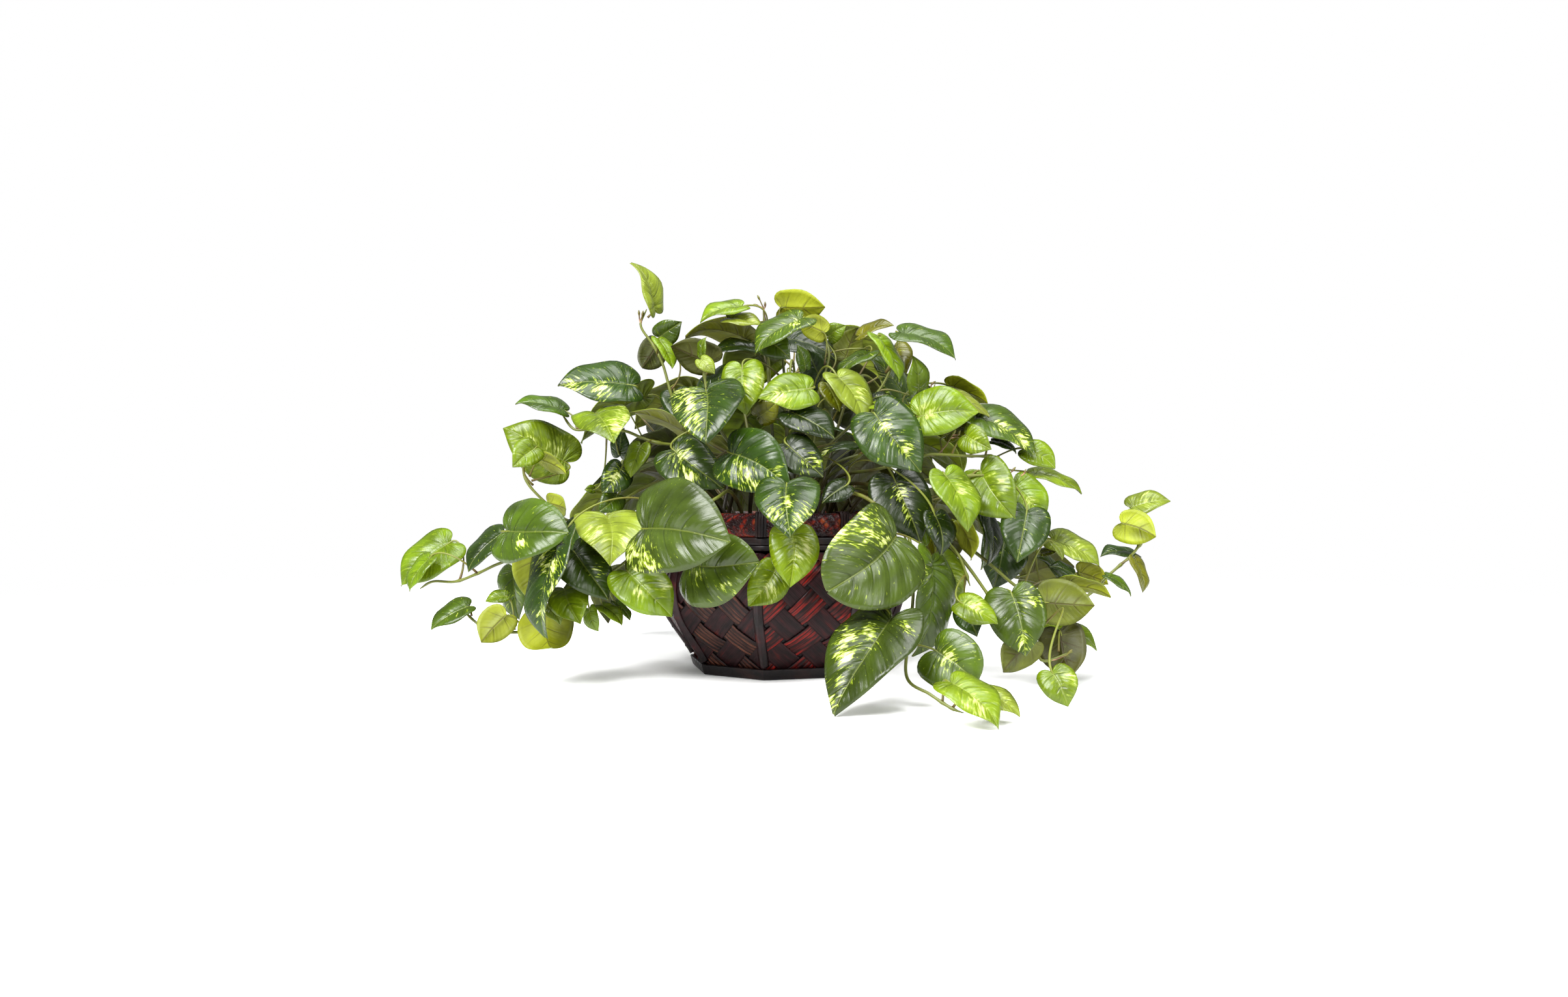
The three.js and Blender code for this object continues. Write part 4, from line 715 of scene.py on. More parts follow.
# ---- Leafy stems: how they grow ----------------------------------------------------------
# Each stem roots in the soil, rises over the rim and trails. It has its name, the angle and
# radius of its root (degrees from the front towards +X), its course as points of the front view
# with their distance in front of the planter's axis, and its blades: base and tip in the view,
# the width seen, the base's distance in front of the axis, the kind, and where it matters the
# pitch of the tip to the front. An "under" blade shows its underside.
VINES = [
    ['vine_left_trail', [-80, 70],
      [[960, 810, 70], [900, 850, 75], [860, 857, 72],
        [800, 856, 62], [765, 866, 58], [735, 880, 52], [700, 893, 48], [665, 893, 44], [645, 904, 40]],
      [[691, 833, 612, 898, 60, 48, 'lime'], [660, 857, 628, 908, 25, 58, 'lime'],
        [773, 818, 716, 876, 35, 78, 'dark'], [778, 816, 868, 815, 97, 95, 'mid'],
        [788, 872, 797, 952, 42, 84, 'dark'], [822, 845, 813, 922, 60, 98, 'under pale']]],
    ['vine_left_high', [-75, 54],
      [[1110, 725, 0], [1010, 740, 10], [920, 790, 30], [875, 800, 45], [838, 772, 50],
        [808, 738, 48], [803, 705, 45]],
      [[870, 711, 775, 653, 84, 55, 'lime'], [822, 688, 788, 717, 45, 72, 'lime'],
        [830, 705, 870, 727, 25, 62, 'under lime'], [842, 772, 872, 782, 35, 66, 'under pale'],
        [890, 800, 875, 850, 35, 66, 'dark']]],
    ['vine_left_low', [-64, 68],
      [[1010, 775, 90], [940, 850, 100], [880, 915, 100], [820, 965, 92],
        [790, 971, 88], [750, 968, 82], [730, 955, 78], [712, 938, 76]],
      [[778, 944, 738, 988, 55, 88, 'under pale'], [838, 938, 850, 1003, 85, 108, 'under lime'],
        [778, 915, 745, 922, 20, 80, 'lime'], [720, 931, 661, 966, 34, 75, 'mid'],
        [840, 930, 862, 958, 25, 118, 'pale'], [866, 825, 828, 978, 50, 122, 'dark']]],
    ['vine_left_front', [-48, 68],
      [[1040, 775, 105], [975, 850, 118], [920, 890, 120], [885, 905, 118]],
      [[866, 903, 891, 958, 62, 128, 'lime'],
        [880, 845, 935, 920, 75, 112, 'dark'], [905, 935, 918, 970, 25, 112, 'olive'],
        [925, 930, 956, 960, 22, 114, 'lime'], [945, 925, 968, 953, 12, 108, 'dark'],
        [962, 876, 1033, 947, 80, 142, 'lime'], [932, 792, 937, 865, 110, 128, 'pale']]],
    ['vine_front_left', [-28, 70],
      [[1100, 765, 125], [1040, 800, 135], [990, 812, 140]],
      [[986, 812, 1117, 830, 147, 165, 'dark'], [1056, 866, 1162, 862, 116, 150, 'dark']]],
    ['vine_up_left', [-120, 32],
      [[1150, 720, -5], [1090, 680, 0], [1050, 645, 10], [1033, 612, 18], [1018, 560, 15],
        [1003, 530, 12], [984, 500, 10], [993, 475, 8]],
      [[1005, 476, 974, 401, 32, 8, 'pale'], [1012, 518, 1047, 494, 40, 25, 'mid'],
        [1012, 522, 1033, 566, 25, 32, 'lime'], [1010, 528, 985, 566, 45, 16, 'under olive'],
        [1037, 603, 1060, 662, 55, 45, 'dark']]],
    ['vine_out_left', [-98, 48],
      [[1130, 715, 10], [1090, 695, 30], [1040, 684, 42], [1010, 680, 46], [985, 672, 46],
        [960, 662, 44], [925, 658, 40], [900, 660, 36], [880, 658, 33], [863, 636, 30]],
      [[866, 630, 792, 615, 28, 28, 'mid'], [972, 592, 856, 589, 60, 35, 'dark'],
        [914, 634, 943, 678, 80, 62, 'lime'], [1058, 667, 962, 630, 22, 62, 'under pale'],
        [985, 684, 966, 732, 35, 54, 'olive'], [952, 700, 957, 657, 30, 42, 'dark'],
        [955, 718, 925, 757, 48, 50, 'dark'], [948, 760, 920, 785, 40, 44, 'dark'],
        [912, 752, 898, 752, 14, 40, 'lime']]],
    ['vine_inner_left', [-50, 35],
      [[1150, 715, 35], [1120, 680, 50], [1095, 640, 60], [1085, 600, 62], [1080, 560, 58]],
      [[1084, 598, 1082, 672, 110, 84, 'dark'], [1095, 558, 1030, 530, 55, 55, 'under olive'],
        [1078, 548, 1083, 517, 15, 62, 'lime'], [1076, 552, 1098, 573, 25, 68, 'pale'],
        [1033, 690, 1112, 749, 78, 105, 'dark'], [1043, 736, 983, 722, 28, 74, 'under olive'],
        [1080, 600, 1140, 565, 35, 40, 'dark']]],
    ['vine_top_left', [-170, 15],
      [[1190, 720, 0], [1185, 650, 10], [1180, 580, 12], [1177, 522, 12], [1172, 470, 10]],
      [[1139, 471, 1074, 491, 26, 22, 'lime'], [1118, 489, 1173, 501, 20, 28, 'pale'],
        [1150, 521, 1052, 509, 35, 32, 'under olive'], [1160, 535, 1092, 541, 22, 38, 'dark']]],
    ['vine_top', [6, 13],
      [[1206, 715, 24], [1208, 640, 36], [1203, 560, 33], [1197, 493, 25]],
      [[1175, 520, 1213, 550, 45, 52, 'dark'], [1199, 472, 1268, 471, 55, 30, 'under lime'],
        [1232, 490, 1157, 541, 42, 62, 'mid'], [1205, 520, 1285, 549, 35, 46, 'olive'],
        [1237, 566, 1224, 529, 22, 50, 'mid'], [1140, 562, 1146, 637, 66, 82, 'lime'],
        [1165, 640, 1195, 615, 40, 60, 'olive']]],
    ['vine_top_right', [80, 25],
      [[1220, 715, 15], [1245, 640, 28], [1262, 590, 34], [1273, 549, 32], [1270, 525, 28]],
      [[1266, 511, 1226, 497, 40, 30, 'under lime'], [1272, 517, 1299, 500, 30, 30, 'lime'],
        [1262, 588, 1240, 536, 48, 50, 'dark'], [1244, 597, 1164, 610, 55, 88, 'lime'],
        [1270, 590, 1290, 632, 35, 58, 'olive'], [1336, 542, 1282, 577, 20, 52, 'mid'],
        [1285, 577, 1326, 650, 52, 82, 'pale'], [1298, 552, 1318, 502, 45, 30, 'under olive']]],
    ['vine_centre', [20, 45],
      [[1225, 730, 60], [1240, 700, 75], [1250, 670, 82], [1240, 645, 84]],
      [[1213, 632, 1283, 672, 50, 92, 'dark'], [1208, 682, 1265, 731, 60, 112, 'mid'],
        [1316, 684, 1259, 697, 16, 95, 'dark'], [1300, 745, 1262, 772, 35, 112, 'olive'],
        [1310, 700, 1270, 760, 45, 62, 'under olive'], [1345, 700, 1300, 745, 45, 52, 'under olive']]],
    ['vine_front_centre', [-2, 68],
      [[1205, 735, 115], [1215, 770, 128], [1222, 830, 140], [1205, 870, 142]],
      [[1120, 695, 1213, 748, 100, 142, 'dark'], [1208, 742, 1214, 824, 100, 152, 'dark'],
        [1217, 815, 1213, 902, 77, 152, 'lime'], [1192, 873, 1149, 931, 62, 146, 'lime']]],
    ['vine_front_right', [25, 70],
      [[1320, 760, 110], [1360, 790, 130], [1372, 820, 140], [1362, 880, 158],
        [1350, 915, 182], [1345, 935, 195]],
      [[1376, 824, 1275, 905, 145, 162, 'dark'], [1370, 953, 1276, 1097, 128, 206, 'dark', 30],
        [1430, 860, 1413, 1010, 58, 156, 'mid']]],
    ['vine_right_inner', [40, 52],
      [[1270, 735, 50], [1320, 700, 70], [1345, 665, 80], [1345, 640, 82]],
      [[1342, 634, 1416, 724, 95, 112, 'dark'], [1372, 733, 1415, 832, 88, 132, 'dark'],
        [1340, 612, 1365, 606, 15, 80, 'dark'], [1345, 622, 1405, 637, 15, 96, 'lime']]],
    ['vine_right_top', [115, 20],
      [[1250, 710, 5], [1310, 650, 20], [1350, 600, 30], [1370, 560, 32], [1372, 533, 32]],
      [[1382, 512, 1470, 547, 30, 40, 'mid'], [1320, 516, 1372, 497, 18, 25, 'olive'],
        [1372, 533, 1392, 570, 45, 50, 'olive'], [1348, 518, 1383, 586, 28, 56, 'lime'],
        [1392, 617, 1334, 544, 45, 66, 'mid'], [1410, 602, 1405, 546, 35, 46, 'olive']]],
    ['vine_right_up', [100, 48],
      [[1275, 720, 30], [1340, 690, 40], [1400, 650, 50], [1425, 620, 52], [1436, 590, 50]],
      [[1457, 592, 1518, 618, 30, 50, 'under lime'], [1422, 622, 1505, 617, 35, 62, 'under olive'],
        [1440, 600, 1520, 640, 20, 72, 'pale'], [1410, 640, 1503, 632, 75, 88, 'lime']]],
    ['vine_right_reach', [82, 55],
      [[1285, 735, 36], [1350, 720, 62], [1419, 700, 75], [1441, 698, 77], [1480, 700, 75],
        [1535, 701, 68]],
      [[1493, 638, 1589, 697, 45, 70, 'mid'], [1455, 668, 1499, 650, 25, 62, 'olive'],
        [1482, 668, 1522, 690, 45, 86, 'lime'], [1575, 690, 1621, 719, 40, 60, 'lime'],
        [1525, 677, 1562, 694, 14, 60, 'dark'], [1585, 727, 1663, 755, 18, 60, 'lime']]],
    ['vine_right_mid', [62, 55],
      [[1300, 745, 44], [1360, 745, 70], [1440, 735, 92], [1500, 730, 90], [1551, 731, 82]],
      [[1450, 728, 1490, 815, 58, 120, 'lime'], [1505, 722, 1558, 796, 85, 112, 'lime'],
        [1556, 742, 1601, 803, 60, 96, 'lime'], [1577, 785, 1562, 863, 75, 102, 'dark'],
        [1600, 848, 1624, 846, 14, 72, 'olive']]],
    ['vine_right_low', [58, 68],
      [[1385, 775, 76], [1430, 810, 96], [1470, 850, 110], [1490, 900, 108]],
      [[1470, 800, 1494, 860, 30, 96, 'under pale'], [1435, 790, 1447, 852, 45, 106, 'dark'],
        [1415, 812, 1420, 842, 15, 116, 'olive'], [1506, 783, 1511, 875, 11, 96, 'mid'],
        [1515, 785, 1521, 868, 22, 90, 'dark'], [1545, 815, 1528, 905, 72, 84, 'dark'],
        [1437, 856, 1471, 930, 62, 136, 'lime'], [1482, 935, 1500, 976, 45, 108, 'dark'],
        [1475, 925, 1533, 957, 42, 122, 'lime'],
        [1448, 800, 1468, 862, 52, 70, 'under olive'], [1418, 806, 1436, 862, 36, 84, 'olive']]],
    ['vine_right_trail', [42, 68],
      [[1385, 800, 100], [1402, 900, 140], [1395, 980, 175], [1393, 1041, 215],
        [1428, 1066, 230], [1460, 1087, 240], [1480, 1095, 245]],
      [[1460, 1050, 1537, 1116, 55, 268, 'lime', 30], [1515, 1062, 1568, 1098, 32, 258, 'pale', 20],
        [1436, 998, 1500, 1048, 95, 196, 'dark', 25]]],
    ['vine_right_far', [86, 68],
      [[1400, 780, 45], [1500, 850, 70], [1560, 900, 80], [1604, 925, 75],
        [1643, 931, 70], [1670, 915, 66], [1703, 883, 60], [1739, 851, 54], [1758, 824, 48]],
      [[1738, 780, 1799, 766, 35, 45, 'pale'], [1722, 803, 1776, 825, 55, 54, 'under lime'],
        [1740, 850, 1690, 852, 16, 50, 'dark'], [1742, 858, 1757, 910, 18, 60, 'olive'],
        [1616, 829, 1692, 866, 35, 76, 'pale'], [1655, 878, 1703, 897, 35, 72, 'under lime'],
        [1632, 898, 1707, 914, 22, 78, 'under pale'], [1635, 893, 1590, 852, 10, 70, 'mid'],
        [1648, 882, 1612, 868, 18, 74, 'dark'], [1570, 884, 1650, 868, 55, 66, 'under olive'],
        [1618, 835, 1632, 860, 12, 82, 'pale'], [1700, 884, 1739, 914, 14, 62, 'mid']]],
    ['vine_right_drop', [72, 68],
      [[1390, 775, 65], [1470, 850, 90], [1530, 930, 105], [1586, 995, 118],
        [1604, 1015, 122], [1647, 1001, 118]],
      [[1553, 909, 1575, 1008, 90, 125, 'dark'], [1606, 960, 1688, 992, 38, 110, 'lime'],
        [1602, 925, 1682, 930, 72, 92, 'under olive'], [1628, 968, 1648, 1038, 74, 112, 'under olive'],
        [1590, 985, 1538, 1032, 55, 132, 'under olive'], [1615, 1031, 1640, 1085, 58, 205, 'lime', 20]]],
    ['vine_low_left', [-104, 72],
      [[1080, 750, -60], [1090, 740, -100], [1105, 748, -128]],
      [[1085, 736, 1062, 840, 70, -110, 'under olive'], [1108, 740, 1120, 850, 76, -128, 'under olive'],
        [1128, 740, 1172, 835, 66, -126, 'under olive']]],
    ['vine_low_back', [168, 72],
      [[1222, 748, -100], [1225, 742, -128]],
      [[1215, 740, 1188, 845, 70, -122, 'under olive'], [1232, 744, 1242, 855, 76, -130, 'under olive'],
        [1248, 742, 1284, 840, 58, -126, 'under olive']]],
    ['vine_low_right', [112, 72],
      [[1308, 750, -62], [1312, 740, -100], [1316, 746, -126]],
      [[1304, 738, 1286, 845, 70, -118, 'under olive'], [1322, 740, 1338, 850, 72, -118, 'under olive'],
        [1335, 732, 1378, 825, 66, -105, 'under olive']]],
]
RIM_CLEAR_HEIGHT = RIM_BAND["high"] + 5
SOIL_CLEAR = 5  # height over the soil where a stem starts to lean
STEM_UPRIGHT = 14
OUTER_ROOT = 60  # a root further out than this leans out over the rim
LEAN_OUT = {"radius": 90, "above": 14}
STEM_STEP = 38
STEM_PARTS = 8
LEAST_STEPS = 4
COURSE_PARTS = 200
PETIOLE_STEP = 26
PETIOLE_PARTS = 5
PETIOLE_BEND = 0.3
PETIOLE_SLACK = 1.1  # its length over the gap that it spans
SHORTEST_PETIOLE = 7
BLADE_THICK = 0.9
BLADE_FOLD = 0.25  # rise of the blade's halves from the midrib, per unit of width
BLADE_CURL = 0.22  # turn-down of the margins
BLADE_ARCH = 0.07  # height of the midrib's bow over its length
BROAD = 0.85  # width of a blade over its length
SLIGHT_PITCH = math.radians(14)  # the least that a blade leans to the eye
MOST_BROAD = 2.2  # the most that a blade seems broader than that
LEAST_SHOWN = 0.26  # the least share of its width that a blade shows
UPPER_SIDE = {"spread": 1 / 300, "front": 0.1}  # where upper sides face: up and away from the middle


def unit(vector):
    return vector / np.linalg.norm(vector)


def seen_at(across, down, depth):
    """The point that the front view shows at a place, so far in front of the axis."""
    near = (1 - depth / -EYE[1]) / VIEW_SCALE
    return np.array([EYE[0] + (across - VIEW_CENTRE[0]) * near, -depth,
                     EYE[2] - (down - VIEW_CENTRE[1]) * near])


def root_point(root, above):
    degrees, radius = root
    return out_at(math.radians(degrees)) * radius + UP * (SOIL_TOP + above)


def stem_start(root):
    """The stem rises from the soil, and one that stands near the rim leans out over it."""
    foot = root_point(root, SOIL_CLEAR)
    start = [foot, root_point(root, SOIL_CLEAR + STEM_UPRIGHT)]
    if root[1] < OUTER_ROOT:
        return start
    out = foot * LEAN_OUT["radius"] / root[1]
    out[2] = RIM_CLEAR_HEIGHT + LEAN_OUT["above"]
    return [*start, out]


class Course:
    """A smooth curve through points, and points along the straight lengths of its solid."""

    def __init__(self, points):
        points = np.array(points)
        self.ends = np.vstack([2 * points[0] - points[1], points, 2 * points[-1] - points[-2]])
        shares = np.arange(COURSE_PARTS + 1) / COURSE_PARTS
        run = run_along(self.at(shares))
        steps = max(LEAST_STEPS, math.floor(run[-1] / STEM_STEP + 0.5))
        even = np.arange(steps + 1) / steps * run[-1]
        self.dense = straight_lengths(self.at(np.interp(even, run, shares)), STEM_PARTS)

    def at(self, share):
        place = np.atleast_1d(share) * (len(self.ends) - 3)
        first = np.minimum(place.astype(int), len(self.ends) - 4)
        t = (place - first)[:, None]
        a, b, c, d = (self.ends[first + k] for k in range(4))
        t0, t1 = (c - a) / 2, (d - b) / 2
        return b + t * (t0 + t * (3 * (c - b) - 2 * t0 - t1 + t * (2 * (b - c) + t0 + t1)))


def straight_lengths(corners, parts):
    """The points that divide each straight length between corners into equal parts."""
    shares = np.arange(parts)[:, None] / parts
    lengths = [a + (b - a) * shares for a, b in zip(corners[:-1], corners[1:])]
    return np.vstack([*lengths, corners[-1:]])


def blade_from(base, tip, width, normal, kind):
    length = np.linalg.norm(tip - base)
    axis = (tip - base) / length
    normal = unit(normal - axis * normal.dot(axis))
    return {"base": base, "axis": axis, "normal": normal, "side": np.cross(axis, normal),
            "length": length, "width": width, "kind": kind}


def seen_blade(base_across, base_down, tip_across, tip_down, width, depth, kind, pitch=None):
    """A blade seen as broad as it is long leans to the eye; one seen narrow is turned sideways."""
    near = (1 - depth / -EYE[1]) / VIEW_SCALE
    seen_length = math.hypot(tip_across - base_across, tip_down - base_down) * near
    seen_width = width * near
    broadness = min(seen_width / (BROAD * seen_length), MOST_BROAD)
    lean = math.acos(1 / max(broadness, 1 / math.cos(SLIGHT_PITCH)))
    if pitch is not None:
        lean = math.radians(pitch)
    base = seen_at(base_across, base_down, depth)
    tip = seen_at(tip_across, tip_down, depth + seen_length * math.tan(lean))
    true_width = max(seen_width, BROAD * np.linalg.norm(tip - base))
    turn = math.acos(max(seen_width / true_width, LEAST_SHOWN))
    axis = unit(tip - base)
    sight = unit(EYE - base)
    facing = unit(sight - axis * sight.dot(axis))
    side = np.cross(axis, facing)
    if kind.startswith("under"):
        facing = -facing
    normals = [facing * math.cos(a) + side * math.sin(a) for a in (turn, -turn)]
    upper = np.array([base[0] * UPPER_SIDE["spread"], -UPPER_SIDE["front"], 1])
    return blade_from(base, tip, true_width, max(normals, key=upper.dot), kind)


# The leafy stems that the front hides: spread over the back, high ones near the middle and
# drooping ones further out, by the golden ratio. Pairs are a least value and its spread.
HIDDEN_VINES = 8
HIDDEN_FROM = 112  # degrees from the front towards +X
HIDDEN_TO = 248
HIDDEN_SEED = 10
HIDDEN_ROOT = (36, 36)
HIDDEN_REACH = (125, 115)
HIDDEN_TOP = (300, -115)
HIDDEN_DROP = (15, 120)
HIDDEN_BEND = 0.62  # share of the reach where the stem is highest
HIDDEN_BLADES = 7
HIDDEN_BARE = 0.42  # share of the stem below its first blade
BARE_JOINTS = [(0, 3), (5, 2), (7, 4)]  # a blade at these would show from the front
HIDDEN_LENGTH = (62, 34)
HIDDEN_ASIDE = (26, 16)
HIDDEN_OUT = (8, 18)
HIDDEN_UP = (14, 10)
HIDDEN_LAST_UP = 2
HIDDEN_AXIS = {"out": 0.6, "aside": 0.75, "down": (0.35, 0.5)}
HIDDEN_TILT = 0.55
GOLDEN = 0.618034
HIDDEN_KINDS = ("dark", "mid", "lime", "dark", "mid", "pale", "lime")


def within(pair, share):
    return pair[0] + pair[1] * share


def hidden_vine(order):
    share = (order + HIDDEN_SEED) * GOLDEN % 1
    degrees = HIDDEN_FROM + (HIDDEN_TO - HIDDEN_FROM) * (order + 0.5) / HIDDEN_VINES
    outwards = out_at(math.radians(degrees))
    reach, top = within(HIDDEN_REACH, share), within(HIDDEN_TOP, share)
    root = [degrees, within(HIDDEN_ROOT, share)]
    course = Course([*stem_start(root), outwards * HIDDEN_BEND * reach + UP * top,
                     outwards * reach + UP * (top - within(HIDDEN_DROP, share))])
    sideways = np.cross(outwards, UP)
    blades = []
    for k in range(HIDDEN_BLADES):
        if (order, k) in BARE_JOINTS:
            continue
        last = k == HIDDEN_BLADES - 1
        hand = 0 if last else (k % 2) * 2 - 1
        turn = (order * HIDDEN_BLADES + k) * GOLDEN % 1
        length = within(HIDDEN_LENGTH, (order + k) * GOLDEN % 1)
        base = course.at(HIDDEN_BARE + (1 - HIDDEN_BARE) * (k + 1) / HIDDEN_BLADES)[0]
        base = base + sideways * hand * within(HIDDEN_ASIDE, turn)
        base = base + outwards * within(HIDDEN_OUT, turn)
        base = base + UP * (HIDDEN_LAST_UP if last else within(HIDDEN_UP, turn))
        axis = unit(-UP * within(HIDDEN_AXIS["down"], turn) + outwards * HIDDEN_AXIS["out"]
                    + sideways * hand * HIDDEN_AXIS["aside"])
        kind = HIDDEN_KINDS[(order * 3 + k) % len(HIDDEN_KINDS)]
        blades.append(blade_from(base, base + axis * length, BROAD * length,
                                 UP + outwards * HIDDEN_TILT, kind))
    return {"name": f"vine_back_{order + 1}", "root": root, "course": course, "blades": blades}


def blade_point(blade, along, across):
    """Points of a blade: its midrib is bowed, its halves fold up and its margins turn down."""
    half = blade["width"] / 2
    y = across * half
    bow = 4 * BLADE_ARCH * np.where(along > 0, along * (1 - along), along) * blade["length"]
    rise = bow + BLADE_FOLD * np.abs(y) - BLADE_CURL * y * y / half
    return (blade["base"] + np.multiply.outer(along * blade["length"], blade["axis"])
            + np.multiply.outer(y, blade["side"]) + np.multiply.outer(rise, blade["normal"]))


# Where blades crowd, a blade stands nearer or further along the eye's line, and its petiole
# leaves the stem elsewhere or bends another way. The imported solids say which.
SHIFTS = [0, -4, -8, 4, -12, -16, 8, -21, -27, 13, -34, -42, 19, -52, -64, 27, -78, 37, -95]
BACKS = [2, 5, 0, 8, -2, 12, 16, 22]
LIFTS = [0.25, 0, 0.5, -0.25, 0.8]
ASIDES = [0, 0.3, -0.3, 0.6, -0.6]
SAME_PLACE = 0.1


def shifted(blade, towards_eye):
    """The blade moved along its line of sight, so that the eye sees it as before."""
    away = blade["base"][1] - EYE[1]
    scale = (away - towards_eye) / away
    return {**blade, "base": EYE + (blade["base"] - EYE) * scale, "length": blade["length"] * scale,
            "width": blade["width"] * scale}


def petiole_bends(vine, blade):
    """Every way that a petiole may leave the stem and bend into the blade's midrib."""
    along = np.array([p for p in vine["course"].dense
                      if p[2] > RIM_CLEAR_HEIGHT or math.hypot(p[0], p[1]) > RIM_BAND["outside"]])
    end = blade["base"]
    at = int(np.argmin(np.linalg.norm(along - end, axis=1)))
    for back in BACKS:
        start = along[min(max(at - back, 0), len(along) - 1)]
        span = np.linalg.norm(start - end)
        if span < SHORTEST_PETIOLE:
            continue
        across = unit(np.cross(end - start, UP))
        steps = max(1, math.floor(PETIOLE_SLACK * span / PETIOLE_STEP + 0.5))
        arrive = end - blade["axis"] * PETIOLE_BEND * span
        for lift in LIFTS:
            for aside in ASIDES:
                leave = start + (end - start) * PETIOLE_BEND + (UP * lift + across * aside) * span
                yield start, leave, arrive, end, steps


def bezier(start, leave, arrive, end, shares):
    t = shares[:, None]
    s = 1 - t
    return s ** 3 * start + 3 * s * s * t * leave + 3 * s * t * t * arrive + t ** 3 * end


def upper_tip(blade):
    tip = blade_point(blade, np.array([1.0]), np.array([0.0]))[0]
    return tip + blade["normal"] * BLADE_THICK / 2


def grown(vine):
    """The vine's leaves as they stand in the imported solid: blades with their petioles' curves."""
    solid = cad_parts[vine["name"]].data
    corners = [v.co / MM for v in solid.vertices]
    tree = KDTree(len(corners))
    for i, corner in enumerate(corners):
        tree.insert(corner, i)
    tree.balance()
    surface = BVHTree.FromPolygons(corners, [p.vertices[:] for p in solid.polygons])

    def off_solid(bend):
        *bend, steps = bend
        line = straight_lengths(bezier(*bend, np.arange(steps + 1) / steps), PETIOLE_PARTS)
        return max(surface.find_nearest(point)[3] for point in line[1:])

    leaves = []
    for index, blade in enumerate(vine["blades"]):
        for here in (shifted(blade, shift) for shift in SHIFTS):
            if tree.find(upper_tip(here))[2] < SAME_PLACE:
                petiole = min(petiole_bends(vine, here), key=off_solid)
                leaves.append({"index": index, "blade": here, "petiole": petiole})
                break
    return leaves


vines = [{"name": name, "root": root, "blades": [seen_blade(*blade) for blade in blades],
          "course": Course([*stem_start(root), *(seen_at(*point) for point in course)])}
         for name, root, course, blades in VINES]
vines += [hidden_vine(order) for order in range(HIDDEN_VINES)]
for vine in vines:
    vine["leaves"] = grown(vine)

# ---- Leafy stems: stems and petioles -----------------------------------------------------
# Green stems of a few millimetres, swollen at each joint, that turn olive and brown with age and
# are woody at the root, and painted darker there and in the planter's middle as painted shade.
# Slimmer petioles rise from the joints, pinkish tan where they begin, and young shoots end in a
# pointed bud. Widths here are half of the real ones.
STEM_WIDE = 1.9
STEM_SLIM = 1.15
STEM_SLIMS = 1.2  # power by which it slims along its length
STEM_END = [0.8, 0.6, 0.35]  # how its last points narrow
STEM_FOOT = -22  # where it ends, from the soil's surface
STEM_POINTS = 220
PETIOLE_WIDE = 1.15
PETIOLE_SLIM = 0.75
PETIOLE_WAIST = 1.5  # power by which it widens from its middle to both ends
PETIOLE_END = [0.9, 0.7, 0.35]
PETIOLE_POINTS = 25
SHORT_BEND = {"leave": 0.45, "arrive": 0.6}  # how far a petiole of one length bends like a long one
MIDRIB_START = np.array([0.03, 0.07, 0.12])  # where a petiole runs on under the blade
MIDRIB_SINK, PETIOLE_SINK = 0.5, 0.2
NODE_SWELL = 0.55
NODE_LONG = 2.4
TUBE_SIDES = 8
TUBE_STEP = 2.6
FIRST_SIDE = [0.31, 0.77, 0.55]  # a direction that no stem starts in
SHOOT_WIDE = 0.6
SHOOT_STEP = 1.1
BUD_WIDE = 1.15
BUD_LONG = 5.5
BUD_POINT = 0.45  # how much narrower its end is
BUD_AGE = -0.6  # on the scale of age that colours a petiole, where 0 is its joint
SHOOT_SNAP = 14  # in the front view, how near a shoot starts to the stem that it stands on
SHOOTS = {  # where the front view shows the young shoots of a stem, each up to its bud
    "vine_top_left": [[(1177, 518), (1175, 490), (1172, 472), (1167, 461), (1163, 453)],
                      [(1172, 473), (1165, 470), (1157, 467)], [(1173, 476), (1175, 471), (1175, 463)]],
    "vine_right_up": [[(1424, 597), (1430, 591), (1437, 585)]],
    "vine_right_reach": [[(1419, 700), (1440, 699), (1453, 684), (1463, 667), (1468, 660)],
                         [(1460, 674), (1469, 671), (1476, 676)], [(1463, 668), (1471, 668), (1475, 661)]],
    "vine_right_mid": [[(1546, 723), (1554, 724), (1560, 717)], [(1568, 731), (1573, 727), (1576, 720)]],
    "vine_right_drop": [[(1604, 1015), (1621, 1013), (1638, 1006), (1647, 997)]],
    "vine_out_left": [[(888, 664), (890, 656), (892, 649)], [(889, 658), (883, 655)],
                      [(890, 658), (899, 655)]],
    "vine_up_left": [[(984, 502), (982, 490), (981, 476)], [(986, 503), (985, 490), (988, 477)]],
}


def view_of(points):
    """Where the front view shows points."""
    near = (points[:, 1] - EYE[1]) / -EYE[1] / VIEW_SCALE
    return np.stack([VIEW_CENTRE[0] + (points[:, 0] - EYE[0]) / near,
                     VIEW_CENTRE[1] - (points[:, 2] - EYE[2]) / near], axis=1)


def shoot_lines(vine, wood):
    """The lines of a stem's young shoots, which start on the wood that the front view shows there."""
    lines = []
    for places in SHOOTS.get(vine["name"], []):
        away = np.linalg.norm(view_of(wood) - places[0], axis=1)
        nearest = wood[np.argmin(away)]
        line = np.array([seen_at(*place, -nearest[1]) for place in places])
        if away.min() < SHOOT_SNAP:
            line = np.vstack([nearest, line[1:]])
        line, run = resampled(line, SHOOT_STEP)
        lines.append((line, run))
        wood = np.vstack([wood, line])
    return lines


def tube(line, radii):
    """A round closed tube along a line, with its section turned as little as it can be."""
    along = slope_of(line)
    side = unit(np.cross(along[0], FIRST_SIDE))
    angles = np.linspace(0, 2 * math.pi, TUBE_SIDES, endpoint=False)
    rings = []
    for point, forward, radius in zip(line, along, radii):
        side = unit(side - forward * side.dot(forward))
        other = np.cross(forward, side)
        rings.append(point + radius * (np.outer(np.cos(angles), side) + np.outer(np.sin(angles), other)))
    return np.vstack(rings)


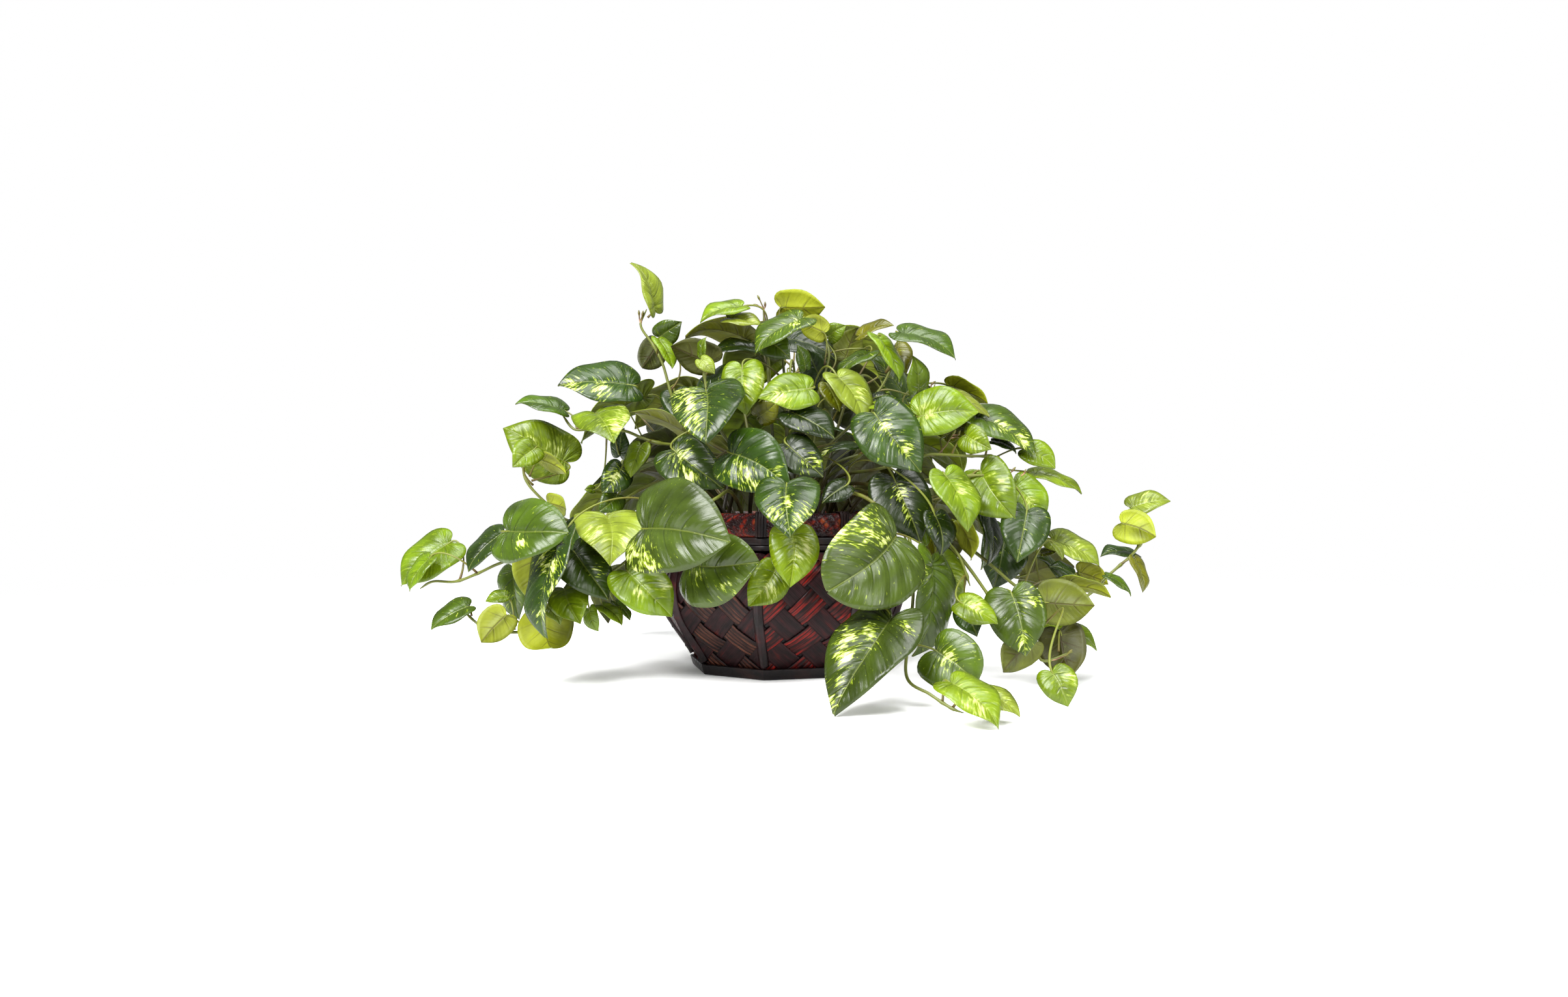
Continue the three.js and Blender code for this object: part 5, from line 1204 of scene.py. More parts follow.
def resampled(line, step=TUBE_STEP):
    """A line with its points about a step apart, and how far along it each of them is."""
    run = run_along(line)
    even = np.linspace(0, run[-1], max(3, int(run[-1] / step) + 1))
    return points_at(even, run, line), even


def petiole_line(leaf):
    """The petiole from inside the stem to the blade, where it runs on as the midrib."""
    start, leave, arrive, end, steps = leaf["petiole"]
    if steps == 1:
        middle = (start + end) / 2
        leave = start + (leave - start) * SHORT_BEND["leave"]
        arrive = middle + (arrive - middle) * SHORT_BEND["arrive"]
    line = bezier(start, leave, arrive, end, np.linspace(0, 1, PETIOLE_POINTS))
    blade = leaf["blade"]
    midrib = blade_point(blade, MIDRIB_START, 0 * MIDRIB_START) - blade["normal"] * MIDRIB_SINK
    return np.vstack([line[:-1], line[-1] - blade["normal"] * PETIOLE_SINK, midrib])


def stem_piece(vine):
    """Makes a vine's stem with its petioles and shoots.

    For each point it keeps its share of the tube's length, and 0 on the stem or 1 on the others.
    """
    points, faces, places = [], [], []

    def take(line, radii, kind, youth=0):
        faces.extend(tube_net(len(line), TUBE_SIDES, sum(map(len, points))))
        points.append(tube(line, radii))
        run = np.repeat(np.linspace(0, 1, len(line)) + youth, TUBE_SIDES)
        places.append(np.stack([run, np.full_like(run, kind), np.zeros_like(run)], axis=1))

    line = vine["course"].at(np.linspace(0, 1, STEM_POINTS))
    line, run = resampled(np.vstack([root_point(vine["root"], STEM_FOOT), line]))
    radii = STEM_WIDE + (STEM_SLIM - STEM_WIDE) * (run / run[-1]) ** STEM_SLIMS
    for leaf in vine["leaves"]:
        away = np.linalg.norm(line - leaf["petiole"][0], axis=1)
        radii += NODE_SWELL * np.exp(-(away / NODE_LONG) ** 2)
    radii[-3:] *= STEM_END
    take(line, radii, 0)
    wood = [line]
    for leaf in vine["leaves"]:
        line, run = resampled(petiole_line(leaf))
        wood.append(line)
        off_middle = np.abs(1 - 2 * (run / run[-1]))
        radii = PETIOLE_SLIM + (PETIOLE_WIDE - PETIOLE_SLIM) * off_middle ** PETIOLE_WAIST
        radii[-3:] *= PETIOLE_END
        take(line, radii, 1)
    for line, run in shoot_lines(vine, np.vstack(wood)):
        bud = np.clip((run - run[-1] + BUD_LONG) / BUD_LONG, 0, 1)
        radii = SHOOT_WIDE + (BUD_WIDE - SHOOT_WIDE) * np.sin(math.pi * bud) - BUD_POINT * bud ** 4
        take(line, radii, 1, BUD_AGE)
    piece = solid_piece(vine["name"] + "_stem", np.vstack(points), faces, GREEN_STEM)
    write_down(piece, "growth", np.vstack(places))
    fit(piece, "stem", vine["name"])


# The waxy skin of a green vine, with a dull gleam. It is brown and mottled where it is old, in
# blotches 11 mm long. Towards the root it is woody, and it is painted dark there as painted shade
# under the leaves.
GREEN_STEM = new_material("green_stem_ageing_to_brown")
BLOTCHES = 90.0  # per metre
WOODY_AND_SHADED_TO, GREEN_FROM = 0.075, 0.135  # metres from the middle of the planter's foot
FLATTER = (1, 1, 0.35)  # how that counts height
growth = add(GREEN_STEM, "Attribute", {"attribute_name": "growth"}).node.outputs["Vector"]
parts = add(GREEN_STEM, "SeparateXYZ", None, {"Vector": growth}).node.outputs
coordinates = add(GREEN_STEM, "TexCoord").node.outputs["Object"]
mottle = add(GREEN_STEM, "TexNoise", None, {"Vector": coordinates, "Scale": BLOTCHES, "Detail": 4.0})
age = add(GREEN_STEM, "Math", TIMES_PLUS, [mottle, 0.9, parts["X"]])
stem_colour = add(GREEN_STEM, "ValToRGB", None, {"Fac": age},
                  [(0.35, "#2e2010"), (0.7, "#473c16"), (1.0, "#50561a")])
petiole_colour = add(GREEN_STEM, "ValToRGB", None, {"Fac": age},
                     [(0.1, "#86674a"), (0.3, "#472f18"), (0.6, "#4f4818"), (1.0, "#585e1a")])
colour = add(GREEN_STEM, "Mix", BLEND, [parts["Y"], stem_colour, petiole_colour])
flat = add(GREEN_STEM, "VectorMath", TIMES, [coordinates, FLATTER])
from_root = add(GREEN_STEM, "VectorMath", LENGTH, [flat])
# Woody and painted shade: within these distances of the planter's middle the colour is darkened, to 0.22 of
# itself at the root, for the shade under the leaves.
woody_and_painted_shade = add(GREEN_STEM, "MapRange", None, [from_root, WOODY_AND_SHADED_TO, GREEN_FROM, 0.22, 1.0])
colour = add(GREEN_STEM, "Mix", TINT, [1.0, colour, woody_and_painted_shade])
bump = add(GREEN_STEM, "Bump", None, {"Strength": 0.3, "Distance": 0.0004, "Height": mottle})
shader = add(GREEN_STEM, "BsdfPrincipled", None, {
    "Base Color": colour, "Roughness": 0.42, "Normal": bump, "Specular IOR Level": 0.3})
add(GREEN_STEM, "OutputMaterial", None, {"Surface": shader})

for vine in vines:
    stem_piece(vine)

# ---- Leafy stems: blades -----------------------------------------------------------------
# Heart-shaped blades, glossy above and matt below. Veins leave the midrib aslant, bend to the
# tip and lie in grooves with the tissue swollen between them. Young blades are lime and old
# ones dark, and cream or yellow runs through both in patches and in speckles along the veins.
LOBE = [(0, 0.02), (-0.2, 0.25), (-0.2, 1), (0.28, 1)]
FLANK = [(0.28, 1), (0.7, 1), (0.84, 0.38), (1, 0)]
BLUNT_FLANK = [(0.28, 1), (0.78, 1), (1, 0.75), (1, 0)]
# Blades whose outline isn't the usual one: the share by which it goes from FLANK to BLUNT_FLANK,
# and how broad it is against the usual.
OUTLINE_OF = {
    ("vine_front_left", 0): (0.3, 1), ("vine_front_left", 1): (0.55, 1),
    ("vine_front_right", 0): (0.95, 1), ("vine_front_right", 1): (0, 0.87),
    ("vine_right_trail", 2): (0.9, 1), ("vine_left_trail", 3): (0.5, 1),
    ("vine_inner_left", 0): (0.35, 1), ("vine_right_mid", 2): (0.3, 1),
}
BLADE_FINE = 0.55  # its thickness
VEIN_SPACING = 9.5
VEINS = (4, 9)  # the fewest and the most on each side
ROWS_PER_VEIN = 4
LAST_ROWS = (0.97, 0.985, 0.995)  # share of the outline where the rows by the tip stand
FIRST_RIB = 0.1  # share of the midrib that the veins of the lobes start from
LAST_RIB = 0.995
SHEET_STEP = 3.4
HALF_COLUMNS = (4, 11)  # the fewest and the most
UNLIKE_HALVES = 0.07  # how much broader or narrower one half may be
SWELL = 0.034  # height of the tissue between side veins, over the length
GROOVE = {"deep": 0.8, "wide": 1.1}  # over the midrib
RIDGE = {"high": 0.35, "wide": 0.8}  # under it
WAVES = {"high": 0.027, "along": 9}  # of the margin, over the length
FOLDS = (-0.05, 0.1)  # rise of a half towards its margin, over its width
DROOP = (0.02, 0.11)  # of the tip, over the length
DROOP_FROM, DROOP_SQUARE = 0.6, 0.16
SIDE_BEND = 0.06  # of the midrib, over the length
CREAM_EDGE = 1.35  # how far a patch fades out, against its radius
SHEET_MARK = 17.3  # between the marks that tell blades apart
BOX_CLEAR = 0.1  # a blade that would pass the solids' box moves back inside it by this much
# Some of these tones are painted light or shade rather than tissue: 'deep' and 'shaded front' are painted
# shade, for blades in the shadow of others, and the lighter front tone and the brighter olive tone are
# painted light, for blades that face the lights.
TONE_OF = {  # blades whose tissue isn't the usual one of their kind
    ("vine_front_left", 0): "front", ("vine_front_right", 0): "front",
    ("vine_front_left", 1): "front in painted light", ("vine_front_right", 1): "shaded front",
    ("vine_right_inner", 1): "deep", ("vine_right_trail", 2): "mid", ("vine_out_left", 7): "mid",
    ("vine_left_front", 4): "mid", ("vine_left_trail", 4): "mid", ("vine_right_drop", 0): "mid",
    ("vine_top", 0): "mid", ("vine_centre", 0): "deep", ("vine_centre", 1): "deep",
    ("vine_centre", 2): "deep", ("vine_centre", 3): "deep", ("vine_centre", 4): "deep",
    ("vine_right_inner", 2): "deep", ("vine_right_low", 1): "deep", ("vine_right_low", 4): "deep",
    ("vine_top_left", 3): "deep", ("vine_top", 3): "deep", ("vine_right_far", 9): "olive in painted glare",
    ("vine_right_drop", 2): "olive in painted glare", ("vine_right_drop", 4): "olive in painted glare",
    ("vine_right_top", 5): "under lime", ("vine_out_left", 4): "under lime",
    ("vine_left_front", 2): "under lime", ("vine_top_left", 2): "under pale",
    ("vine_right_low", 2): "under lime", ("vine_top_right", 7): "olive in painted glare",
}
# The deep and the shaded front colours here are painted shade, and the lighter front and the brighter olive
# colours are painted light.
TISSUE_AND_PAINTED_LIGHT = {  # colour of the upper side and of the underside
    "deep": ("#131e03", "#222506"), "front": ("#2b370a", "#404810"),
    "front in painted light": ("#34420e", "#404810"), "shaded front": ("#242e07", "#404810"),
    "olive in painted glare": ("#3a4208", "#424806"),
    "dark": ("#1d2d05", "#3a4012"), "mid": ("#2f4007", "#474f13"), "lime": ("#4a5c06", "#5c6a0c"),
    "pale": ("#58641a", "#646a22"), "olive": ("#464804", "#4f5004"),
    "under olive": ("#232b06", "#2d2f02"), "under lime": ("#4a5c06", "#6c740a"),
    "under pale": ("#4a5c14", "#686e12"),
}
SOFT = {"lime": 1.0, "pale": 1.0, "under lime": 0.8, "under pale": 0.8}  # how soft its cream ends
FRECKLES = (-0.03, 0.045)  # how much more cream a blade has all over
TONE_VARIES, HUE_VARIES = 0.1, 0.05
BACK_PATCHES = 4  # a blade at the back has fewer than this
BACK_ALONG, BACK_ACROSS, BACK_RADIUS = (0.2, 0.8), (-0.7, 0.7), (0.08, 0.2)  # shares of the blade
# Where cream shows on a blade: spots of the front view, each with its radius.
CREAM = {
    ("vine_left_trail", 3): [(800, 835, 10)],
    ("vine_left_high", 0): [(850, 690, 12), (815, 675, 9)],
    ("vine_left_low", 5): [(842, 865, 16), (850, 905, 13), (838, 940, 10)],
    ("vine_left_front", 0): [(905, 935, 9)],
    ("vine_left_front", 1): [(915, 880, 9)],
    ("vine_left_front", 5): [(985, 905, 12), (1020, 900, 9)],
    ("vine_left_front", 6): [(915, 820, 13), (960, 830, 10)],
    ("vine_front_left", 0): [(975, 862, 26), (1000, 880, 16)],
    ("vine_front_left", 1): [(1072, 880, 8), (1115, 905, 8)],
    ("vine_up_left", 0): [(985, 440, 8)],
    ("vine_up_left", 4): [(1045, 620, 10)],
    ("vine_out_left", 1): [(880, 590, 12), (925, 600, 12)],
    ("vine_out_left", 2): [(950, 650, 16), (955, 625, 10)],
    ("vine_out_left", 6): [(945, 732, 13)],
    ("vine_inner_left", 0): [(1055, 620, 20), (1062, 650, 13), (1045, 595, 12)],
    ("vine_inner_left", 4): [(1045, 705, 13), (1060, 735, 12)],
    ("vine_top", 2): [(1222, 500, 9)],
    ("vine_top", 5): [(1160, 590, 15)],
    ("vine_top_right", 3): [(1200, 612, 13)],
    ("vine_top_right", 6): [(1322, 605, 11)],
    ("vine_centre", 1): [(1245, 712, 12)],
    ("vine_centre", 2): [(1265, 695, 10)],
    ("vine_front_centre", 0): [(1140, 738, 24), (1168, 752, 16), (1195, 725, 8)],
    ("vine_front_centre", 1): [(1232, 795, 14), (1212, 770, 7), (1190, 790, 9)],
    ("vine_front_centre", 2): [(1238, 840, 15), (1225, 862, 10)],
    ("vine_front_centre", 3): [(1180, 905, 13)],
    ("vine_front_right", 0): [(1288, 812, 26), (1325, 812, 22), (1352, 826, 11)],
    ("vine_front_right", 1): [(1302, 985, 15), (1335, 972, 11), (1298, 1012, 13), (1292, 1050, 11),
                              (1280, 1080, 9), (1392, 972, 9), (1340, 1000, 7)],
    ("vine_front_right", 2): [(1410, 880, 13)],
    ("vine_right_inner", 0): [(1360, 655, 9), (1390, 690, 8)],
    ("vine_right_inner", 1): [(1385, 755, 13), (1395, 790, 9)],
    ("vine_right_top", 4): [(1350, 580, 9)],
    ("vine_right_up", 3): [(1425, 632, 13)],
    ("vine_right_reach", 0): [(1570, 678, 12), (1540, 655, 9)],
    ("vine_right_reach", 2): [(1500, 678, 10)],
    ("vine_right_mid", 0): [(1478, 752, 10)],
    ("vine_right_mid", 1): [(1530, 740, 12)],
    ("vine_right_mid", 2): [(1580, 770, 9), (1585, 790, 8)],
    ("vine_right_low", 6): [(1462, 885, 12)],
    ("vine_right_low", 8): [(1500, 930, 12)],
    ("vine_right_trail", 0): [(1495, 1080, 12), (1510, 1095, 9)],
    ("vine_right_trail", 1): [(1540, 1078, 12)],
    ("vine_right_trail", 2): [(1455, 1010, 10)],
    ("vine_right_far", 4): [(1650, 845, 12)],
    ("vine_right_far", 0): [(1765, 765, 10)],
    ("vine_right_drop", 0): [(1585, 920, 12), (1572, 985, 11)],
    ("vine_right_drop", 1): [(1645, 975, 12)],
    ("vine_right_drop", 5): [(1640, 1045, 10)],
}


def outline_at(share, bluntness):
    """The blade's outline from the notch (0) to the tip (1): along it and across half of it."""
    flank = (1 - bluntness) * np.array(FLANK) + bluntness * np.array(BLUNT_FLANK)
    lobe, flank = bezier(*np.array(LOBE), share * 2), bezier(*flank, share * 2 - 1)
    return np.where(share[:, None] < 0.5, lobe, flank).T


def sheet_faces(rows, columns):
    """The faces of two like nets, one over the other, with their edges joined."""
    count = rows * columns
    faces = net(rows, columns)
    faces += [[i + count for i in face][::-1] for face in faces]
    for a in range(0, count - columns, columns):
        b, c, d = a + columns, a + columns - 1, a + 2 * columns - 1
        faces += [[b, b + count, a + count, a], [c, c + count, d + count, d]]
    for a in range(columns - 1):
        b = count - columns + a
        faces += [[a + 1 + count, a + count, a, a + 1], [b + count, b + 1 + count, b + 1, b]]
    return faces


def leaf_sheets(blade, seed, spots, bluntness, breadth):
    """The two faces of a blade as one closed net, with what its material needs of each point."""
    chance = np.random.default_rng(seed)
    length, half_width, normal = blade["length"], blade["width"] / 2, blade["normal"]
    veins = int(np.clip(round(length / VEIN_SPACING), *VEINS))
    half = int(np.clip(round(half_width / SHEET_STEP), *HALF_COLUMNS))
    share = np.concatenate([np.linspace(0, LAST_ROWS[0], veins * ROWS_PER_VEIN), LAST_ROWS[1:]])
    margin, reach = outline_at(share, bluntness)
    late = np.clip((share - 0.5) * 2, 0, 1)
    rib = np.where(share < 0.5, FIRST_RIB * (share * 2) ** 1.5, FIRST_RIB + (1 - FIRST_RIB) * late ** 1.25)
    rib = np.clip(rib, 0, LAST_RIB)
    out = np.linspace(-1, 1, 2 * half + 1)
    out_share = np.abs(out) ** 1.1
    along = rib[:, None] + (margin - rib)[:, None] * out_share ** 1.25
    across = breadth * reach[:, None] * np.sign(out) * out_share
    across *= 1 + chance.uniform(-UNLIKE_HALVES, UNLIKE_HALVES) * np.sign(across)
    aside = across * half_width
    vein = np.broadcast_to((share * veins)[:, None], along.shape)
    edge = np.broadcast_to(out_share, along.shape)
    left, still_wide = across > 0, np.clip(reach * 1.5, 0, 1)[:, None]
    # The tissue swells between the side veins, and the midrib lies in a groove.
    swell = np.abs(np.sin(math.pi * vein)) ** 0.8
    swell = SWELL * length * swell * np.sin(math.pi * edge ** 0.8) * still_wide
    groove = -GROOVE["deep"] * np.exp(-(aside / GROOVE["wide"]) ** 2) * (1 - share[:, None])
    # The margins wave, each half folds up or down, the tip droops and the midrib bends sideways.
    waves, folds = chance.uniform(0, 2 * math.pi, 2), chance.uniform(*FOLDS, 2)
    wave = WAVES["high"] * length * edge ** 2.5 * np.sin(WAVES["along"] * along + np.where(left, *waves))
    fold = np.where(left, *folds) * np.abs(across) * half_width
    droop = -chance.uniform(*DROOP) * length * np.clip(along - DROOP_FROM, 0, 1) ** 2 / DROOP_SQUARE
    bend = chance.uniform(-SIDE_BEND, SIDE_BEND) * length * np.sin(math.pi * np.clip(along, 0, 1))
    relief = swell + groove + wave + fold + droop
    points = blade_point(blade, along.ravel(), across.ravel())
    points = points + np.outer(relief, normal) + np.outer(bend, blade["side"])
    seen = view_of(points)
    cream = np.zeros(len(points))
    for x, y, radius in spots:
        away = ((seen - [x, y]) ** 2).sum(axis=1)
        cream = np.maximum(cream, np.exp(-away / (CREAM_EDGE * radius) ** 2))
    ridge = RIDGE["high"] * np.exp(-(aside / RIDGE["wide"]) ** 2) * (1 - share[:, None])
    upper, lower = points + normal * BLADE_FINE / 2, points - normal * BLADE_FINE / 2
    lie = np.stack([vein / veins * length, aside, np.full(along.shape, seed * SHEET_MARK)], axis=-1)
    vein_net = np.stack([vein, edge * np.sign(across), np.zeros(along.shape)], axis=-1)
    return {"points": np.vstack([upper, lower - np.outer(ridge, normal)]),
            "faces": sheet_faces(*along.shape),
            "lie": np.vstack([lie.reshape(-1, 3)] * 2), "veins": np.vstack([vein_net.reshape(-1, 3)] * 2),
            "cream": np.concatenate([cream, cream * 0.5])}


def back_patches(blade, chance):
    """Where a blade at the back is cream, told like the patches that the front view shows."""
    count = chance.integers(0, BACK_PATCHES)
    along, across = chance.uniform(*BACK_ALONG, count), chance.uniform(*BACK_ACROSS, count)
    places = view_of(blade_point(blade, along, across))
    return [(*place, blade["length"] * chance.uniform(*BACK_RADIUS) * VIEW_SCALE) for place in places]


def leaf_tone(kind, under, chance):
    """The colour of one side of a blade, a little different on every leaf: its tissue, with painted shade
    on some blades and painted light on others.
    """
    colour = np.array(linear(TISSUE_AND_PAINTED_LIGHT[kind][under])[:3])
    tone = 1 + chance.uniform(-TONE_VARIES, TONE_VARIES)
    return colour * tone * (1 + chance.uniform(-HUE_VARIES, HUE_VARIES, 3))


# A waxy leaf, glossy above and matt below. Its tissue is clouded in patches 17 mm wide. Cream and
# yellow run through it in streaks 6 mm long and 1.2 mm wide that follow the side veins, and in
# patches with ragged edges of 9 mm. Veins lie in grooves above, darkened there with painted shade,
# and are brown ribs below.
VARIEGATED_LEAF = new_material("glossy_variegated_leaf")
LEAF_CLOUDS, RAGGED = 0.06, 0.11  # per millimetre
CREAM_STREAKS = (0.85, 0.16, 1)  # per millimetre
tone = add(VARIEGATED_LEAF, "Attribute", {"attribute_name": "tissue_and_painted_light"}).node.outputs["Color"]
lie = add(VARIEGATED_LEAF, "Attribute", {"attribute_name": "lie"}).node.outputs["Vector"]
vein_net = add(VARIEGATED_LEAF, "Attribute", {"attribute_name": "veins"}).node.outputs["Vector"]
looks = add(VARIEGATED_LEAF, "Attribute", {"attribute_name": "looks"}).node.outputs["Vector"]
cream = add(VARIEGATED_LEAF, "Attribute", {"attribute_name": "cream"}).node.outputs["Fac"]
looks = add(VARIEGATED_LEAF, "SeparateXYZ", None, {"Vector": looks}).node.outputs
under, soft, freckles = looks["X"], looks["Y"], looks["Z"]
cloud = add(VARIEGATED_LEAF, "TexNoise", None, {"Vector": lie, "Scale": LEAF_CLOUDS, "Detail": 3.0})
cloudy = add(VARIEGATED_LEAF, "MapRange", None, [cloud, 0.3, 0.7, 0.6, 1.4])
colour = add(VARIEGATED_LEAF, "Mix", TINT, [1.0, tone, cloudy])
stretched = add(VARIEGATED_LEAF, "VectorMath", TIMES, [lie, CREAM_STREAKS])
streaks = add(VARIEGATED_LEAF, "TexNoise", None,
              {"Vector": stretched, "Scale": 1.0, "Detail": 6.0, "Roughness": 0.62})
streaked = add(VARIEGATED_LEAF, "MapRange", {"clamp": False},
               [streaks, 0.0, 1.0, -0.28, 1.12])
patches = add(VARIEGATED_LEAF, "TexNoise", None, {"Vector": lie, "Scale": RAGGED, "Detail": 2.0})
ragged = add(VARIEGATED_LEAF, "MapRange", None, [patches, 0.35, 0.65, 0.12, 0.46])
reach = add(VARIEGATED_LEAF, "Math", TIMES, [cream, ragged])
level = add(VARIEGATED_LEAF, "Math", PLUS, [streaked, reach])
level = add(VARIEGATED_LEAF, "Math", PLUS, [level, freckles])
sharp_yellow = add(VARIEGATED_LEAF, "MapRange", None, [level, 0.62, 0.66, 0.0, 0.75])
soft_yellow = add(VARIEGATED_LEAF, "MapRange", None, [level, 0.5, 0.78, 0.0, 0.7])
sharp_cream = add(VARIEGATED_LEAF, "MapRange", None, [level, 0.72, 0.79])
soft_cream = add(VARIEGATED_LEAF, "MapRange", None, [level, 0.66, 0.92, 0.0, 0.9])
yellow = add(VARIEGATED_LEAF, "Mix", None, [soft, sharp_yellow, soft_yellow])
creamy = add(VARIEGATED_LEAF, "Mix", None, [soft, sharp_cream, soft_cream])
shown = add(VARIEGATED_LEAF, "MapRange", None, [under, 0, 1, 1.0, 0.2])
yellow = add(VARIEGATED_LEAF, "Math", TIMES, [yellow, shown])
creamy = add(VARIEGATED_LEAF, "Math", TIMES, [creamy, shown])
colour = add(VARIEGATED_LEAF, "Mix", BLEND, [yellow, colour, linear("#76861e")])
colour = add(VARIEGATED_LEAF, "Mix", BLEND, [creamy, colour, linear("#a9ad72")])
places = add(VARIEGATED_LEAF, "SeparateXYZ", None, {"Vector": vein_net}).node.outputs
spots = add(VARIEGATED_LEAF, "SeparateXYZ", None, {"Vector": lie}).node.outputs
wave = add(VARIEGATED_LEAF, "Math", ZIGZAG, [places["X"], 0.5])
side_vein = add(VARIEGATED_LEAF, "MapRange", None, [wave, 0.01, 0.07, 1.0, 0.0])
middle = add(VARIEGATED_LEAF, "Math", SIZE, [places["Y"]])
off_middle = add(VARIEGATED_LEAF, "Math", SIZE, [spots["Y"]])
midrib = add(VARIEGATED_LEAF, "MapRange", None, [off_middle, 0.3, 0.9, 1.0, 0.0])
fade = add(VARIEGATED_LEAF, "MapRange", None, [middle, 0.2, 0.9, 1.0, 0.1])
side_vein = add(VARIEGATED_LEAF, "Math", TIMES, [side_vein, fade])
# Painted shade: on the upper side the side veins' grooves are darkened towards #0f1803.
groove_painted_shade = add(VARIEGATED_LEAF, "Math", TIMES, [side_vein, 0.42])
above = add(VARIEGATED_LEAF, "Mix", BLEND, [groove_painted_shade, colour, linear("#0f1803")])
rib_tone = add(VARIEGATED_LEAF, "Math", TIMES, [midrib, 0.25])
above = add(VARIEGATED_LEAF, "Mix", BLEND, [rib_tone, above, linear("#767f38")])
all_veins = add(VARIEGATED_LEAF, "Math", GREATER, [side_vein, midrib])
brown_tone = add(VARIEGATED_LEAF, "Math", TIMES, [all_veins, 0.55])
below = add(VARIEGATED_LEAF, "Mix", BLEND, [brown_tone, colour, linear("#2e1f0a")])
colour = add(VARIEGATED_LEAF, "Mix", BLEND, [under, above, below])
fine_wave = add(VARIEGATED_LEAF, "Math", ZIGZAG, [places["X"], 0.125])
height = add(VARIEGATED_LEAF, "Math", TIMES_PLUS, [all_veins, -1.0, streaks])
height = add(VARIEGATED_LEAF, "Math", TIMES_PLUS, [fine_wave, 3.0, height])
bump = add(VARIEGATED_LEAF, "Bump", None, {"Strength": 0.55, "Distance": 0.0005, "Height": height})
gloss = add(VARIEGATED_LEAF, "MapRange", None, [under, 0, 1, 0.27, 0.5])
shader = add(VARIEGATED_LEAF, "BsdfPrincipled", None, {
    "Base Color": colour, "Roughness": gloss, "Normal": bump, "Specular IOR Level": 0.25})
add(VARIEGATED_LEAF, "OutputMaterial", None, {"Surface": shader})

LEAF_FIELDS = {"lie": "FLOAT_VECTOR", "veins": "FLOAT_VECTOR", "cream": "FLOAT",
               "looks": "FLOAT_VECTOR", "tissue_and_painted_light": "FLOAT_COLOR"}
box_low, box_high = (np.array(corner) / MM for corner in solid_box)
box_low, box_high = box_low + BOX_CLEAR, box_high - BOX_CLEAR
for order, vine in enumerate(vines):
    leaves, faces, count = [], [], 0
    for leaf in vine["leaves"]:
        blade, place = leaf["blade"], (vine["name"], leaf["index"])
        seed = order * 41 + leaf["index"] * 7 + 3
        chance = np.random.default_rng(seed + 5000)
        patches = CREAM.get(place, [])
        if vine["name"].startswith("vine_back"):
            patches = back_patches(blade, chance)
        sheets = leaf_sheets(blade, seed, patches, *OUTLINE_OF.get(place, (0, 1)))
        above, below = (leaf_tone(TONE_OF.get(place, blade["kind"]), side, chance) for side in (0, 1))
        half = len(sheets["points"]) // 2
        looks = [SOFT.get(blade["kind"], 0), chance.uniform(*FRECKLES)]
        sheets["looks"] = np.repeat([[0, *looks], [1, *looks]], half, axis=0)
        sheets["tissue_and_painted_light"] = np.repeat([[*above, 1], [*below, 1]], half, axis=0)
        faces += [[i + count for i in face] for face in sheets["faces"]]
        count += 2 * half
        beyond = np.maximum(sheets["points"].max(axis=0) - box_high, 0)
        beyond += np.minimum(sheets["points"].min(axis=0) - box_low, 0)
        sheets["points"] -= beyond
        leaves.append(sheets)
    points = np.vstack([sheets["points"] for sheets in leaves])
    piece = solid_piece(vine["name"] + "_leaves", points, faces, VARIEGATED_LEAF)
    for name, kind in LEAF_FIELDS.items():
        write_down(piece, name, np.concatenate([sheets[name] for sheets in leaves]), kind)
    fit(piece, "leaf", vine["name"])

# ---- Floor and light ---------------------------------------------------------------------
# A matt white studio floor that runs out into a white background. The room that lights the plant
# is dimmer than that. Large soft lights hang in front on the left, overhead and on the right.
FLOOR_REACH = 2500
FLOOR_DROP = 0.2
FLOOR_FADE = (0.7, 1.5)  # metres from the planter between which the floor runs out
LIGHTS_AIM = Vector((0, 0, 0.15))

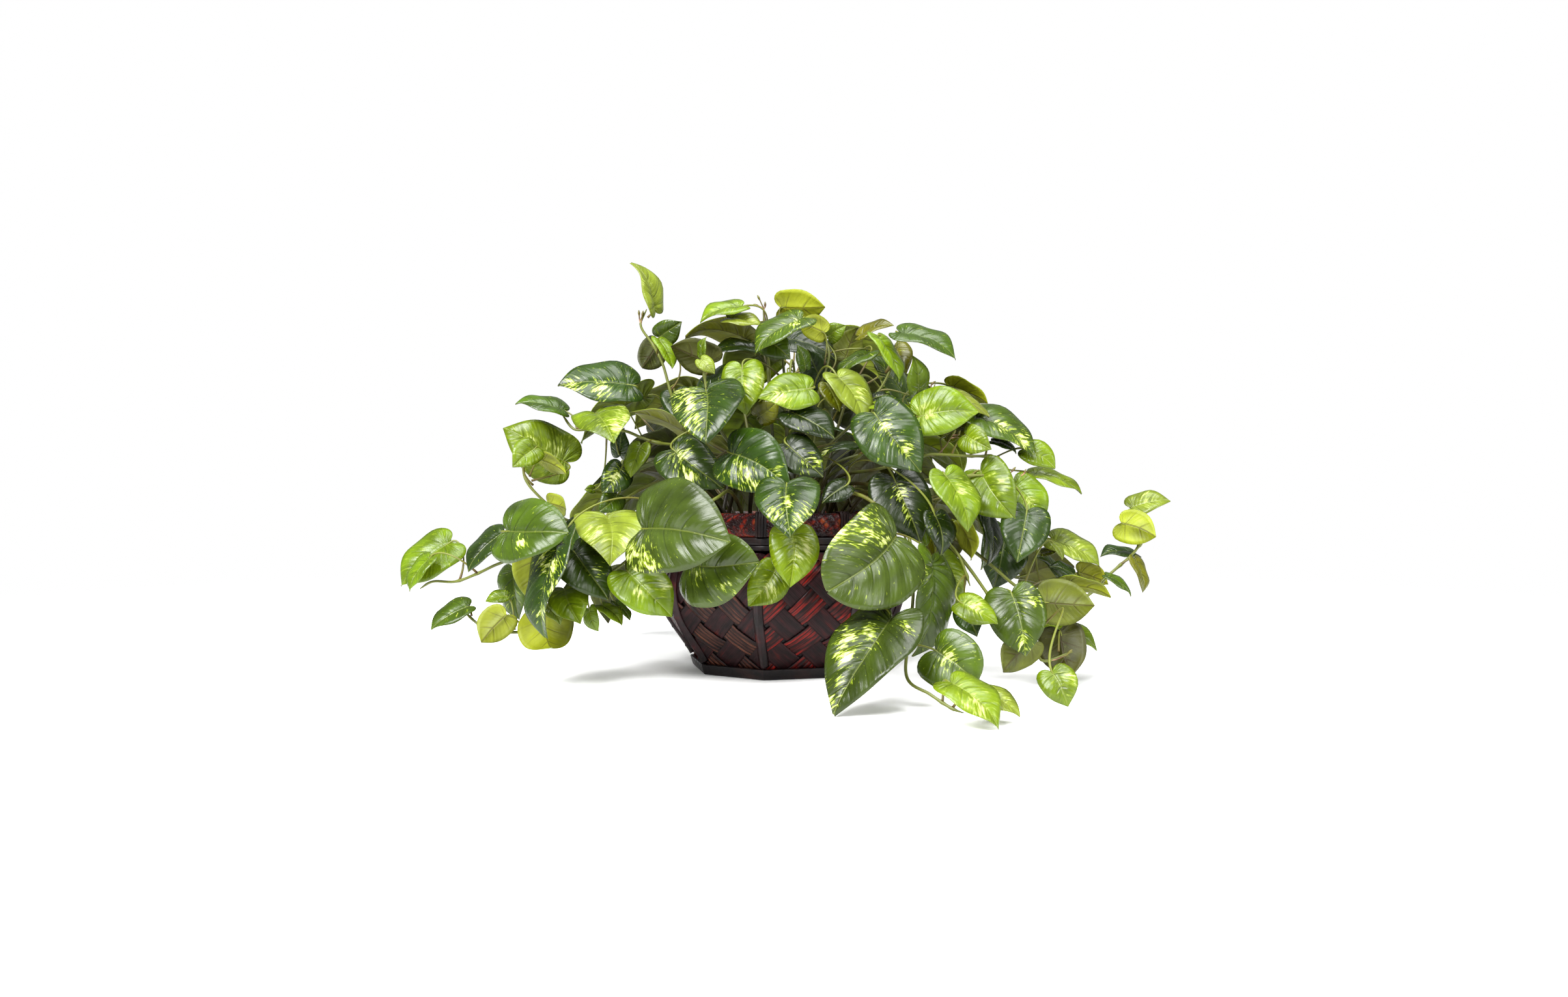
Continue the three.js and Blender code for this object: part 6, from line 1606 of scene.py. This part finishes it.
# Matt white paint, evenly bright and with no gleam, that turns clear as the floor runs out.
STUDIO_WHITE = new_material("matt_white_studio_floor")
coordinates = add(STUDIO_WHITE, "TexCoord").node.outputs["Object"]
distance = add(STUDIO_WHITE, "VectorMath", LENGTH, [coordinates])
fade = add(STUDIO_WHITE, "MapRange", {"interpolation_type": "SMOOTHSTEP"},
           [distance, *FLOOR_FADE])
paint = add(STUDIO_WHITE, "BsdfDiffuse", None, {"Color": linear("#fafafa")})
clear = add(STUDIO_WHITE, "BsdfTransparent")
shader = add(STUDIO_WHITE, "MixShader", None, [fade, paint, clear])
add(STUDIO_WHITE, "OutputMaterial", None, {"Surface": shader})
corners = [[x * FLOOR_REACH, y * FLOOR_REACH, -FLOOR_DROP]
           for x, y in ((-1, -1), (1, -1), (1, 1), (-1, 1))]
floor = solid_piece("studio_floor", corners, [[0, 1, 2, 3]], STUDIO_WHITE, False)

world = bpy.data.worlds.new("studio")
world.use_nodes = True
world.node_tree.nodes.clear()
seen_straight = add(world, "LightPath").node.outputs["Is Camera Ray"]
dim_room = add(world, "Background", None, {"Color": linear("#f4f6f8"), "Strength": 0.42})
backdrop = add(world, "Background", None, {"Color": (1, 1, 1, 1), "Strength": 1.0})
surround = add(world, "MixShader", None, [seen_straight, dim_room, backdrop])
add(world, "OutputWorld", None, {"Surface": surround})
bpy.context.scene.world = world
bpy.context.scene.view_settings.view_transform = "Standard"


def soft_light(name, place, size, watts, glint):
    """A square light that faces the middle of the plant; glint is its share in highlights."""
    light = bpy.data.objects.new(name, bpy.data.lights.new(name, "AREA"))
    light.data.size = size
    light.data.energy = watts
    light.data.specular_factor = glint
    light.location = place
    light.rotation_euler = (LIGHTS_AIM - light.location).to_track_quat("-Z", "Y").to_euler()
    bpy.context.scene.collection.objects.link(light)


soft_light("key_light", (-0.9, -1.6, 1.5), 1.1, 140, 0.9)
soft_light("top_light", (0.2, -0.3, 2.0), 1.3, 62, 0.35)
soft_light("fill_light", (1.6, -1.5, 1.0), 1.2, 48, 0.8)
